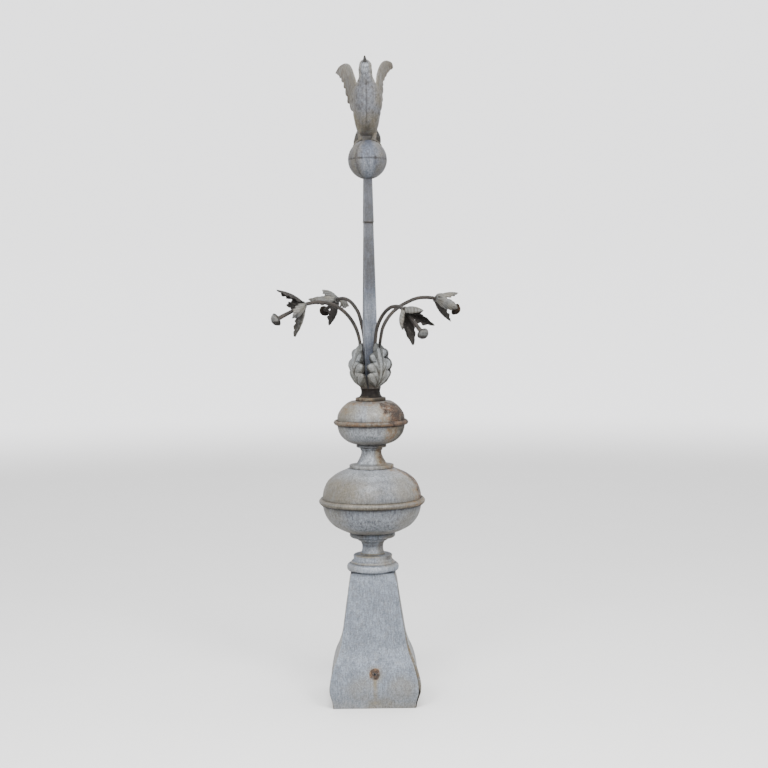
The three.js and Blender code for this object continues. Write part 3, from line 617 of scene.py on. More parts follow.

# Turned mouldings and bulbs, [radius, height] in millimetres; the grime tables hold dirt and painted shade in
# the creases; stains are azimuth bands of rust, warm film, pale painted highlights on the lit front and shade
turnedSettings = {
    "footMoulding": {
        "look": "zincBlue",
        "profile": [
            (56, 333), (60, 333.2), (63.6, 334.6), (66, 337.4), (66.9, 341), (66.9, 345), (65.6, 349),
            (62.6, 352), (59.4, 353.4), (57.6, 353.8), (56.8, 354.4), (56.4, 356.4), (54, 359.4),
            (51.4, 361.6), (50, 363.6), (49.6, 366), (49.7, 369), (50.2, 371), (50, 373.4), (48.4, 375.2),
            (46, 376),
        ],
        "grime_and_shade": [
            (333, 0.95), (335, 0.35), (339, 0.0), (350, 0.0), (352.5, 0.15), (353.8, 0.8), (355.4, 0.1),
            (358, 0.05), (360.5, 0.45), (363, 0.05), (369, 0.0), (374, 0.1), (376, 0.5),
        ],
        "pale": [(-100, 75, 335, 352, 0.75), (-100, 60, 356, 374, 0.55)],
        "rust": [(-30, 50, 354, 360, 0.35)],
        "warm": [
            (-90, 180, 354, 359, 0.7), (-30, 45, 350, 376, 0.7), (200, 40, 333, 352, 0.3),
            (-110, 50, 372, 377, 0.9),
        ],
        "shade": [(-35, 14, 364, 376, 0.6)],
    },
    "lowerNeck": {
        "look": "zincBlue",
        "profile": [
            (33, 376), (31.6, 377), (29.6, 381), (28, 386), (27.3, 391), (27.4, 398), (28.6, 403),
            (30.6, 407.6), (33.6, 410.8), (35.4, 411.6), (37.6, 412), (38.3, 413), (38.3, 416.4),
            (39.5, 417.4), (46, 418), (53, 419), (57, 421), (58.6, 424), (58.8, 428), (57.6, 431.4),
            (56, 433),
        ],
        "grime_and_shade": [
            (376, 0.9), (379, 0.35), (388, 0.2), (396, 0.35), (400, 0.6), (404, 0.35), (411, 0.6),
            (414, 0.2), (417.5, 0.85), (422, 0.4), (430, 0.45), (433, 0.9),
        ],
        "pale": [(-95, 55, 378, 396, 0.9), (-95, 60, 410, 417, 0.8), (-95, 50, 400, 408, 0.5)],
        "rust": [(-35, 25, 400, 433, 0.2)],
        "warm": [(-90, 180, 376, 380, 0.95), (-30, 38, 376, 433, 0.6), (210, 40, 408, 433, 0.4)],
    },
    "bigBulbLower": {
        "look": "zincStreaky",
        "profile": [
            (62, 433), (73, 437.2), (84, 442.4), (93, 447.2), (101, 452.5), (112.4, 464.5), (121, 479),
            (125.6, 494), (127, 506), (127, 513.4),
        ],
        "grime_and_shade": [
            (433, 0.85), (438, 0.4), (450, 0.16), (470, 0.04), (490, 0.1), (500, 0.3), (506, 0.7),
            (513.4, 0.95),
        ],
        "pale": [(-90, 80, 440, 488, 0.35)],
        "warm": [(205, 35, 433, 513, 0.5), (-20, 40, 433, 500, 0.5), (-90, 180, 433, 448, 0.6)],
        "rust": [(10, 30, 470, 513, 0.2)],
    },
    "bigBulbUpper": {
        "look": "zincWarm",
        "profile": [
            (127, 513.7), (127.2, 522), (126.2, 534), (121.8, 550.5), (112.8, 566.5), (99.5, 578.5),
            (88, 585.8), (72, 593), (60, 598),
        ],
        "grime_and_shade": [(513.7, 0.6), (519, 0.5), (524, 0.14), (560, 0.02), (592, 0.0), (597, 0.2), (598, 0.5)],
        "pale": [(-88, 80, 576, 604, 0.8), (-52, 26, 530, 592, 0.22)],
        "warm": [
            (205, 60, 505, 582, 0.75), (-34, 30, 510, 590, 0.5), (-90, 180, 512, 524, 0.5),
            (-104, 24, 520, 556, 0.3),
        ],
        "shade": [(205, 55, 500, 590, 0.3)],
        "rust": [
            (4, 30, 505, 600, 0.8), (-25, 10, 505, 560, 0.35), (-30, 20, 588, 600, 0.4),
            (160, 25, 520, 580, 0.3),
        ],
    },
    "middleNeck": {
        "look": "zincWarm",
        "slot": "zinc_brown",
        "profile": [
            (54, 598), (56.4, 598.6), (57, 600), (57, 606), (55.4, 607.4), (47, 608), (41, 609.4),
            (37.6, 612.4), (34.8, 617), (31.4, 623), (28.6, 629), (26.8, 634), (26.2, 638), (26.4, 643.6),
            (27.4, 645.2), (28.6, 646.2), (28.9, 648.4), (28.6, 650.4), (31, 651.4), (36.6, 651.8),
            (38.4, 652.8), (38.8, 655.4), (38.2, 658.2), (37, 660),
        ],
        "grime_and_shade": [
            (598, 0.7), (601, 0.15), (606, 0.2), (608.5, 0.55), (613, 0.05), (630, 0.05), (642, 0.2),
            (645.4, 0.7), (648, 0.15), (651, 0.85), (655, 0.5), (660, 0.95),
        ],
        "pale": [(-112, 42, 599, 656, 0.95)],
        "shade": [(-18, 28, 609, 652, 0.5)],
        "rust": [(-30, 36, 605, 656, 0.62), (-20, 40, 598, 609, 0.5)],
        "warm": [(-90, 180, 597, 609, 0.35), (-34, 40, 598, 660, 0.95)],
    },
    "smallBulbLower": {
        "look": "zincWarm",
        "profile": [
            (42, 660), (51, 662.8), (61, 667), (69, 672.6), (75.4, 678.6), (80.4, 685.4), (83.8, 692.6),
            (86.6, 703), (87.3, 710), (87.4, 716),
        ],
        "grime_and_shade": [(660, 0.9), (664, 0.4), (672, 0.1), (690, 0.0), (702, 0.15), (709, 0.65), (716, 0.95)],
        "pale": [(-96, 52, 664, 706, 0.6)],
        "rust": [(-50, 14, 668, 712, 0.55), (15, 40, 664, 716, 0.4)],
        "warm": [(-30, 38, 660, 716, 0.9), (-90, 180, 660, 672, 0.5), (190, 40, 660, 716, 0.4)],
        "shade": [(5, 52, 656, 722, 0.9)],
    },
    "smallBulbUpper": {
        "look": "zincWarm",
        "profile": [
            (87.4, 716.3), (87.4, 722), (86.8, 731), (84.6, 739), (81, 745.4), (75.4, 753.4), (68.5, 760.5),
            (60, 767), (52, 771),
        ],
        "grime_and_shade": [(716.3, 0.75), (720, 0.55), (725, 0.1), (740, 0.0), (765, 0.1), (771, 0.6)],
        "pale": [(-98, 38, 722, 768, 0.22)],
        "rust": [
            (-18, 46, 712, 768, 1.0), (-90, 170, 762, 772, 0.5), (-50, 24, 738, 772, 0.85),
            (-90, 180, 714, 721, 0.4), (190, 40, 740, 770, 0.4), (60, 60, 716, 770, 0.6),
            (-60, 14, 716, 768, 0.5),
        ],
        "warm": [
            (200, 50, 716, 771, 0.75), (-40, 50, 716, 771, 0.7), (-88, 10, 722, 768, 0.5),
            (-72, 7, 722, 768, 0.6),
        ],
        "shade": [(8, 50, 716, 765, 0.75), (-22, 12, 736, 758, 0.6), (198, 45, 716, 768, 0.25)],
    },
    "topRing": {
        "look": "zincRusty",
        "slot": "rusted_zinc",
        "profile": [
            (36, 771), (38, 771.6), (39.2, 773.4), (39.3, 776), (39, 778.4), (37.4, 780), (35, 780.6),
        ],
        "grime_and_shade": [(771, 1.0), (773, 0.45), (776, 0.12), (779, 0.35), (780.6, 0.85)],
        "rust": [(-140, 60, 771, 780, 0.7)],
        "warm": [(-125, 45, 771, 780, 0.85)],
        "shade": [(-30, 60, 771, 781, 0.8)],
    },
    "calyxSocket": {
        "look": "zincBlack",
        "slot": "dark_zinc",
        "profile": [
            (32, 780.6), (30, 781.8), (27.4, 785), (25.6, 788.4), (24.7, 792), (24.5, 796), (25, 799.6),
            (26.4, 803),
        ],
        "grime_and_shade": [(780.6, 0.9), (790, 0.6), (803, 0.95)],
        "warm": [(-130, 30, 780, 784, 0.4)],
    },
}


def buildTurned():
    for name, s in turnedSettings.items():
        segments, count, dent = (144, 56, 1.1) if "Bulb" in name else (96, 84, 0.4)
        shape = turnedShape(curve(s["profile"], count), segments, dent, len(name), s["grime_and_shade"], s)
        place(shape, name, s["look"], s.get("slot", "zinc_grey"), 50)


def buildBead(name, s):
    outer, thick, inner, z = s["outer"], s["thick"], s["inner"], s["z"]
    segments = 160
    section = [(inner, z - thick), (inner + thick * 0.6, z - thick * 0.98)]
    middle = outer - thick
    for k in range(13):
        angle = -math.pi / 2 + math.pi * k / 12
        section.append((middle + thick * math.cos(angle), z + thick * 0.96 * math.sin(angle)))
    section += [(inner + thick * 0.6, z + thick * 0.98), (inner, z + thick)]
    shape = Shape()
    grid = []
    for r, height in section:
        ring = []
        for j in range(segments):
            angle = tau * j / segments
            lift = 0.5 * wobble((math.cos(angle) * 2, math.sin(angle) * 2, 0), 1.5, outer)
            size = r - 0.4 - 0.4 * wobble((math.cos(angle) * 3, math.sin(angle) * 3, 1), 1.5, outer)
            size = max(size, inner)
            point = (size * mm * math.cos(angle), size * mm * math.sin(angle), (height + lift) * mm)
            # Dirt and painted shade in the crease where the bead meets the bulb, painted shade on the bead's
            # underside, and a painted highlight on its outer top
            dirtAndShade = s["grime_and_shade"] * (1 - smooth(inner, outer - thick * 0.6, r))
            under = 0.5 * (1 - smooth(z - thick, z - thick * 0.2, height))
            light = 0.3 * smooth(outer - 2, outer, r) * smooth(z - thick * 0.3, z + thick * 0.5, height)
            stain = bandMask(angle, z, s["stains"])
            ring.append(shape.addPoint(point, max(dirtAndShade, under, 0.42 * stain), stain, light))
        grid.append(ring)
    shape.addGrid(grid, closeU=True, closeV=True)
    place(shape, name, "zincBead", "zinc_brown", 60)


beadSettings = {
    "bigBulbBead": {
        "outer": 137,
        "thick": 8.2,
        "inner": 127.5,
        "z": 513.7,
        "grime_and_shade": 0.95,
        "stains": [(-15, 40, 500, 530, 0.4), (60, 60, 500, 530, 0.4)],
    },
    "smallBulbBead": {
        "outer": 96.3,
        "thick": 6.4,
        "inner": 88,
        "z": 716.3,
        "grime_and_shade": 1.05,
        "stains": [(-25, 50, 700, 730, 0.95), (-90, 180, 700, 730, 0.62), (80, 60, 700, 730, 0.6)],
    },
}

buildTurned()
for beadName, beadRow in beadSettings.items():
    buildBead(beadName, beadRow)
print("turned pieces built")


# Shaft: two square lengths with soft edges, turned a little on the base
shaftSettings = {
    "turn": 10,
    "joint": 1225.5,
    "shaftLower": {"levels": [(803, 16), (990, 16.2), (1225.5, 11.8)], "edge": 1.4},
    "shaftUpper": {"levels": [(1225.5, 12.7), (1336.8, 10.6)], "edge": 1.3},
}


def shaftMasks(side, t, z, upper):
    # Grime, rust, wear and warm film at a share t across one of the four sides
    joint = smooth(4.2, 1.2, abs(z - shaftSettings["joint"])) * (0.75 + 0.25 * wobble((side, t, 3), 2.0, 1.0))
    foot = 0.5 * (1 - smooth(803, 880, z))
    lip = 0.25 * smooth(shaftSettings["joint"] + 30, shaftSettings["joint"], z) * upper
    patch = 0.4 * smooth(0.15, 0.5, wobble((side, z / 60, t), 1.2, 5.0))
    smoky = 0.56 * smooth(1020, 1090, z) * (1 - smooth(1170, 1215, z)) + 0.48 * smooth(1200, 1240, z)
    rubbed = 0.3 * smooth(0.8, 1, abs(t))
    washed = 0.3 * smooth(900, 940, z) * (1 - smooth(1015, 1060, z))
    cover = max(foot + lip, patch * (1 - washed), smoky, 1.9 * joint)
    return cover, 0.5 * joint, max(rubbed, washed) * (1 - joint), 0.12 * smooth(1040, 1100, z)


def buildShaft(name):
    s = shaftSettings[name]
    shape = Shape()
    low, high = s["levels"][0][0], s["levels"][-1][0]
    steps = max(int((high - low) / 5), 8)
    grid = []
    upper = name == "shaftUpper"
    heights = [low + (high - low) * i / steps for i in range(steps + 1)]
    for z in sorted(heights + [low + 1.4, low + 2.8, high - 2.8, high - 1.4]):
        half = along(s["levels"], z)
        if upper and z < low + 3:
            half += 0.25
        ring = []
        for side in range(4):
            base = math.radians(shaftSettings["turn"] + 90 * side)
            for k in range(13):
                t = -1 + 2 * k / 12
                flat = half - 0.3 * (1 - t * t) * (0.6 + 0.4 * wobble((side * 3, z / 50, 0), 1.0, 2.0))
                run = t * (half - s["edge"] * 0.3)
                if abs(t) == 1:
                    flat = half - s["edge"] * 0.3
                x = flat * math.cos(base) - run * math.sin(base)
                y = flat * math.sin(base) + run * math.cos(base)
                ring.append(shape.addPoint((x * mm, y * mm, z * mm), *shaftMasks(side, t, z, upper)))
        grid.append(ring)
    shape.addTube(grid)
    place(shape, name, "zincShaft", "zinc_grey", 35)


for shaftName in ("shaftLower", "shaftUpper"):
    buildShaft(shaftName)
print("shaft built")

# Ball in two halves with an open seam
ballSettings = {
    "centre": 1384.7,
    "radius": 50,
    # Lowest and highest angle of each half, with the open seam between them
    "halves": {"ballLower": (-73.0, -0.4), "ballUpper": (0.2, 88)},
    "grime_and_shade": [(-50, 0.5), (-44, 0.12), (-3, 0.1), (-1, 0.85), (1, 0.85), (3.5, 0.15), (40, 0.1), (50, 0.5)],
    "warm": [(-140, 34, 1300, 1450, 0.45), (-30, 34, 1300, 1450, 0.35), (90, 60, 1300, 1450, 0.3)],
    "pale": [(-90, 26, 1330, 1385, 0.35), (-55, 16, 1390, 1440, 0.2)],
    "shade": [(-124, 5, 1325, 1435, 0.75), (-66, 4, 1381, 1390, 0.9), (-150, 30, 1330, 1380, 0.15)],
}


def buildBall():
    s = ballSettings
    for name, (start, stop) in s["halves"].items():
        profile = []
        for k in range(45):
            angle = math.radians(start + (stop - start) * k / 44)
            profile.append((s["radius"] * math.cos(angle), s["centre"] + s["radius"] * math.sin(angle)))
        grime_and_shade = [(s["centre"] + rise, share) for rise, share in s["grime_and_shade"]]
        shape = turnedShape(profile, 96, 0.5, 4.2, grime_and_shade, s)
        place(shape, name, "zincShaft", "zinc_grey", 50)


buildBall()
print("ball built")


# Calyx leaves, each of a tip and three pairs of rounded lobes
calyxSettings = {
    "azimuths": {"a": 212, "b": 122, "c": 302, "d": 32},
    "bottom": 803,
    "height": 121,
    # Half width of a leaf, in mm along its face and in degrees round the shaft
    "halfWidth": 42,
    "halfTurn": 43,
    # Nearest and farthest reach from the middle
    "reach": (26.4, 58),
    "radius": [
        (0, 26.6), (0.07, 34), (0.14, 43), (0.28, 52.5), (0.4, 56), (0.5, 56), (0.575, 54), (0.73, 48.5),
        (0.8, 45), (0.92, 39), (1, 36),
    ],
    "width": [
        (0, 40), (0.1, 42), (0.2, 43.5), (0.28, 43), (0.33, 39), (0.35, 33), (0.38, 37), (0.44, 42),
        (0.5, 42.5), (0.55, 38), (0.575, 29), (0.6, 32), (0.66, 35), (0.73, 34), (0.78, 28), (0.8, 18),
        (0.83, 17.5), (0.9, 18), (0.96, 14), (0.985, 9), (1, 3),
    ],
    # Each lobe's root and top as rise and azimuth share, then its half width in mm
    "lobes": [
        ((0.02, 0.1), (0.36, 0.86), 11), ((0.16, 0.08), (0.585, 0.84), 11), ((0.36, 0.08), (0.81, 0.7), 8.5),
        ((0.0, 0.0), (1.02, 0.0), 8),
    ],
    # Lobes of the edge as low and high rise, depth of the notch and how far the lobe stands out
    "scallops": [(-0.1, 0.355, 5, 1), (0.355, 0.585, 9, 2.5), (0.585, 0.81, 9, 3), (0.81, 1.1, 5, 0)],
    "outward": [(0, 0), (0.4, 0.35), (0.685, 0.58), (0.905, 0.8), (1, 1)],
    "wall": 1.5,
}


def lobeField(u, side):
    # Height of the strongest lobe, and how near the seam to the next one is
    heights = []
    long, wide = calyxSettings["height"], calyxSettings["halfWidth"]
    for (u0, v0), (u1, v1), half in calyxSettings["lobes"]:
        ax, ay = u0 * long, v0 * wide
        bx, by = u1 * long, v1 * wide
        px, py = u * long, side * wide
        runX, runY = bx - ax, by - ay
        size = math.hypot(runX, runY)
        t = ((px - ax) * runX + (py - ay) * runY) / (size * size)
        away = abs((px - ax) * runY - (py - ay) * runX) / size
        width = half * (0.35 + 0.65 * smooth(0, 0.7, t))
        over = max(t - 0.8, 0) * size / half
        reach = (away / width) ** 2 + over * over * 1.2
        heights.append((1 - reach) * smooth(-0.1, 0.25, t) if t > -0.1 else -1.0)
    heights.sort()
    best = max(heights[-1], -0.6)
    seam = 1 - smooth(0.0, 0.45, heights[-1] - heights[-2])
    return best, seam * (1 - smooth(0.2, 0.75, best))


def scallopAt(u):
    for low, high, depth, rise in calyxSettings["scallops"]:
        if u <= high:
            x = (2 * u - low - high) / (high - low)
            return (depth + rise) * math.sqrt(max(1 - x * x, 0)) ** 0.7 - depth
    return 0.0


def calyxMasks(u, edge, best, seam, turn):
    # Grime and painted shade, rust, painted highlight and warm film on the face of a cup leaf: painted shade
    # in the seams between lobes, along the side rims where the next leaf overlaps, at the root and in the
    # hollows; a painted highlight on the raised lobes, stronger from azimuth -10° round to 180° where lit is
    # set
    root = 1 - smooth(0, 0.12, u)
    rim = smooth(0.88, 0.97, edge) * smooth(0.05, 0.15, u)
    lit = smooth(-50, -10, (turn + 180) % 360 - 180)
    dirtAndShade = 0.85 * seam + 0.8 * rim + 0.75 * root + 0.35 * (1 - smooth(0.1, 0.7, best))
    rusty = 0.4 * (1 - smooth(0.02, 0.12, u))
    paintedHighlight = min(1, (0.4 + 0.85 * lit) * smooth(0.25, 0.85, best))
    return min(dirtAndShade, 0.95), rusty, paintedHighlight, 0.35 * (1 - smooth(0.3, 0.7, u))


def calyxPoint(azimuth, u, v):
    # Reach, turn in degrees and height of the face, and its masks
    s = calyxSettings
    edge = abs(v)
    away = abs(math.cos(math.radians(azimuth + s["halfTurn"] * v))) > 0.75
    rise = u + (along(s["outward"], u) - u) * smooth(0.1, 0.6, edge) * away
    spread = along(s["width"], rise)
    best, seam = lobeField(rise, edge * spread / s["halfTurn"])
    topEdge = smooth(0.6, 1.0, edge) * smooth(0.08, 0.2, u)
    curl = 4.6 * topEdge * smooth(-0.1, 0.4, best) - 3.4 * edge * edge * smooth(0, 0.3, u)
    tipCurl = 2.2 * smooth(0.9, 1.0, u)
    scallop = scallopAt(rise) * smooth(0.25, 0.7, edge)
    full = along(s["radius"], u)
    r = full * (1 - 0.03 * edge * edge) + 4.0 * best + curl + tipCurl + scallop - 3.0
    r = min(max(r, s["reach"][0]), s["reach"][1])
    turn = azimuth + spread * v
    z = s["bottom"] + s["height"] * (u - 0.05 * edge * u)
    return r, turn, z, calyxMasks(u, edge, best, seam, turn)


def calyxLeaf(key, azimuth):
    shape = Shape()
    outer = []
    inner = []
    rowsU, rowsV = 120, 48
    for i in range(rowsU + 1):
        rowA = []
        rowB = []
        for j in range(rowsV + 1):
            r, turn, z, masks = calyxPoint(azimuth, i / rowsU, -1 + 2 * j / rowsV)
            c, s = math.cos(math.radians(turn)), math.sin(math.radians(turn))
            rowA.append(shape.addPoint((r * c * mm, r * s * mm, z * mm), *masks))
            q = r - calyxSettings["wall"]
            # Painted shade: the inner face of the cup is painted dark
            rowB.append(shape.addPoint((q * c * mm, q * s * mm, z * mm), 0.92))
        outer.append(rowA)
        inner.append(rowB)
    shape.addSheet(outer, inner)
    place(shape, f"calyxLeaf{key.upper()}", "zincCalyx", "zinc_grey", 50)


for key, azimuth in calyxSettings["azimuths"].items():
    calyxLeaf(key, azimuth)
print("calyx built")

# Arms: stems with rosettes and buds, each stem path as [reach, height]
armSettings = {
    "a": {
        "azimuth": 212,
        "path": [
            (22.6, 812), (23.2, 850), (26, 895), (33, 935), (44, 963), (62, 988), (88, 1009), (117, 1020.5),
            (150, 1024.5), (178, 1021.5),
        ],
        "hub": (189, 1019),
        "bud": (266, 984),
        "leaves": [
            (-3, 51, 84, 1, 0.95, 0.1), (96, 34, 80, 1, 0, 0.5), (186, 48, 84, 1, 0, 0.4),
            (276, 74, 62, 0.8, 0.8, 0.3),
        ],
    },
    "b": {
        "azimuth": 120,
        "path": [
            (22.6, 812), (23.4, 850), (27, 900), (33, 940), (44, 970), (57, 994), (76, 1011), (102, 1026),
            (134, 1034), (163, 1034),
        ],
        "hub": (175, 1032),
        "bud": (246.9, 1003),
        "leaves": [
            (3, 42, 82, 1, 0, 0.5), (72, 56, 78, 1.2, 0, 0.6), (180, 34, 84, 1, 0.95, 0.4),
            (273, 51, 80, 1, 0, 0.6),
        ],
    },
    "c": {
        "azimuth": 301,
        "path": [
            (22.6, 812), (23, 850), (25, 895), (28.6, 928), (38, 960), (64, 989), (98, 1007.5),
            (131, 1011.5), (157, 1007.5),
        ],
        "hub": (168, 1003.5),
        "bud": (249, 947),
        "leaves": [
            (14, 34, 72, 1.5, 0, 1), (98, 48, 84, 1.3, 0.75, 0.2), (165, 48, 90, 1, 0.75, 0.6),
            (255, 30, 80, 1, 0, 0.9),
        ],
    },
    "d": {
        "azimuth": 32,
        "path": [
            (22.6, 812), (23.4, 850), (26, 890), (32.5, 931), (40, 959), (59, 986.5), (84, 1007),
            (112, 1021), (142, 1031.5), (168, 1034.4), (194, 1033),
        ],
        "hub": (204, 1030.5),
        "bud": (266.1, 1003),
        "leaves": [
            (3, 36, 76, 1.2, 0, 0.6), (60, 54, 80, 1, 0.2, 0.4), (171, 26, 80, 1.1, 0.95, 0.5),
            (258, 74, 84, 1, 0, 0.7),
        ],
    },
}
# Rod radius, what it gains beyond a reach and again at the bud, and the gap left for the bud
stemSettings = {"radius": 4.25, "beyond": 0.5, "reach": (28, 45), "atBud": 1.3, "budGap": 2.3}
# Bud caps: rim and dome radii, grime, rust, the strength of the painted shade on the lower side (below), and
# the look
budSettings = {
    "a": {"rim": 16.6, "dome": 14.6, "grime_and_shade": 0.15, "rust": 0.15, "below": 1.3, "look": "zincLeaf"},
    "b": {"rim": 14.5, "dome": 12.5, "grime_and_shade": 0.5, "rust": 0.3, "below": 0.6, "look": "zincBlack"},
    "c": {"rim": 14.6, "dome": 13.4, "grime_and_shade": 0.1, "rust": 0.1, "below": 1.0, "look": "zincLeaf"},
    "d": {"rim": 16, "dome": 13.5, "grime_and_shade": 0.3, "rust": 0.6, "below": 0.3, "look": "zincBlack"},
}
leafSettings = {
    "width": [
        (0, 6), (0.07, 7.5), (0.14, 10.5), (0.2, 14), (0.27, 15.2), (0.32, 14), (0.355, 10), (0.39, 10.5),
        (0.45, 15), (0.51, 16.4), (0.56, 15), (0.6, 10.5), (0.63, 10.5), (0.69, 14.2), (0.75, 14),
        (0.8, 9.5), (0.83, 6.2), (0.9, 6), (0.96, 4.6), (1, 1.8),
    ],
    "plain": [
        (0, 6), (0.07, 8), (0.14, 11.5), (0.22, 15), (0.32, 16.6), (0.45, 17), (0.58, 16.2), (0.7, 14),
        (0.8, 11), (0.88, 7.6), (0.95, 4.6), (1, 1.8),
    ],
    "wall": 1.3,
    "cup": 11.5,
    "halfWidth": 15.5,
    # Radius round the stem where a leaf starts
    "root": 6.5,
}


def armFrame(arm):
    turn = math.radians(arm["azimuth"])
    out = np.array((math.cos(turn), math.sin(turn), 0.0))

    def at(pair):
        return out * pair[0] + np.array((0, 0, pair[1]))

    hub, bud = at(arm["hub"]), at(arm["bud"])
    axis = unit(bud - hub)
    side = np.array((-out[1], out[0], 0.0))
    up = np.cross(side, axis)
    if up[2] < 0:
        up = -up
    return at, hub, bud, axis, side, up


def midrib(t, spread, length):
    sin, cos = math.sin(math.radians(spread)), math.cos(math.radians(spread))
    swell = (0.08 + 0.16 * cos) * length
    tip = (length * sin, length * cos)
    bend = (tip[0] / 2 + swell * cos, tip[1] / 2 - swell * sin)
    q = 1 - t
    out = q * q * leafSettings["root"] + 2 * q * t * bend[0] + t * t * tip[0]
    return out, 2 * q * t * bend[1] + t * t * tip[1]


def leafMasks(centre, reach, u, edge, veins, shade, seed):
    # Grime and painted shade, rust, painted highlight and warm film of a leaf's front, then of its back. A
    # shade share paints the front dark as shade, with ochre stains; the back, the inside of the cup, is
    # painted dark for dirt and shade; the raised lobe ridges get a painted highlight, and the furrows, midrib
    # groove, edges and tip are darker
    stain = shade * 0.5 * smooth(-0.1, 0.4, wobble(centre, 0.07, seed + 8))
    dirtAndShade = 0.1 + 0.3 * max(-veins, 0) * smooth(0.1, 0.4, edge) + 0.55 * smooth(0.86, 1, edge)
    dirtAndShade += 0.4 * math.exp(-((reach / 1.4) ** 2)) + 0.25 * smooth(0.55, 1, u)
    dirtAndShade += 0.35 * max(wobble(centre, 0.05, seed), 0)
    dirtAndShade = min(dirtAndShade * (1 - 0.3 * shade) + 1.15 * shade * (1 - stain), 1) * (1 + 0.8 * shade)
    paintedHighlight = 0.45 * max(veins, 0) * smooth(0.2, 0.6, edge) * (1 - smooth(0.8, 0.95, edge))
    film = 0.35 + 0.5 * wobble(centre, 0.045, seed + 2)
    ochre = 0.55 * max(wobble(centre, 0.06, seed + 5) + 0.15, 0) * (0.5 + 0.5 * veins)
    front = (dirtAndShade, 0.35 * stain, paintedHighlight * (1 - shade), max(film, stain))
    back = ((0.95 - 0.5 * ochre) * (1 + 0.7 * shade), 0.3 * ochre, 0, 0.3 + ochre)
    return front, back


def addLeaf(shape, hub, axis, radial, spread, length, cupShare, shade, plain, seed):
    across = np.cross(axis, radial)
    rowsU, rowsV = 84, 24
    wide = leafSettings["halfWidth"]
    front = []
    back = []
    for i in range(rowsU + 1):
        u = i / rowsU
        r, f = midrib(u, spread, length)
        r0, f0 = midrib(max(u - 0.01, 0), spread, length)
        r1, f1 = midrib(min(u + 0.01, 1), spread, length)
        runR, runF = r1 - r0, f1 - f0
        size = math.hypot(runR, runF)
        inward = (axis * runR - radial * runF) / size
        half = along(leafSettings["width"], u) * (1 - plain) + along(leafSettings["plain"], u) * plain
        rowA = []
        rowB = []
        for j in range(rowsV + 1):
            v = -1 + 2 * j / rowsV
            edge = abs(v)
            reach = half * v
            bowl = (reach / wide) ** 2 * min(1, u / 0.2) / max(half / wide, 0.4)
            cup = leafSettings["cup"] * cupShare * bowl
            veins = math.cos(edge * half * 0.95 - u * 27)
            lobes = 1.1 * veins * smooth(0.1, 0.5, edge) * smooth(0.08, 0.2, u)
            groove = 1.4 * math.exp(-((reach / 1.8) ** 2)) * (1 - u)
            twist = 1.6 * v * math.sin(seed * 5 + u * 3) * smooth(0.3, 1, u)
            ripple = 0.5 * math.sin(u * 19 + seed * 3) * edge * edge * smooth(0.2, 0.5, u)
            depth = cup + 0.35 * lobes + groove + twist + ripple
            centre = hub + radial * r + axis * f + inward * depth
            centre += across * reach * (1 - 0.12 * cupShare * edge)
            frontMasks, backMasks = leafMasks(centre, reach, u, edge, veins, shade, seed)
            rowA.append(shape.addPoint(centre * mm, *frontMasks))
            rowB.append(shape.addPoint((centre + inward * leafSettings["wall"]) * mm, *backMasks))
        front.append(rowA)
        back.append(rowB)
    shape.addSheet(front, back)


def addTurnedOn(shape, origin, axis, up, profile, segments, grime_and_shade, rust=0.0):
    # Revolves [radius, run along the axis] round an axis anywhere
    around = spokes(up, np.cross(axis, up), segments)
    grid = []
    for (r, run), dirtAndShade in zip(profile, grime_and_shade):
        centre = origin + axis * run
        grid.append([shape.addPoint((centre + spoke * r) * mm, dirtAndShade, rust) for spoke in around])
    return grid


def rodShape(points, radii, sides, seed):
    shape = Shape()
    pts = [np.array(p) for p in points]
    normal = None
    grid = []
    for i, p in enumerate(pts):
        tangent = unit(pts[min(i + 1, len(pts) - 1)] - pts[max(i - 1, 0)])
        if normal is None:
            normal = np.cross((0, 0, 1), tangent)
            if np.linalg.norm(normal) < 0.05:
                normal = np.array((1.0, 0, 0))
        normal = unit(normal - tangent * normal.dot(tangent))
        across = np.cross(tangent, normal)
        ring = []
        for spoke in spokes(normal, across, sides):
            r = radii[i] * (1 + 0.035 * wobble(p + spoke * 6, 0.12, seed))
            ring.append(shape.addPoint((p + spoke * r) * mm))
        grid.append(ring)
    shape.addTube(grid)
    return shape


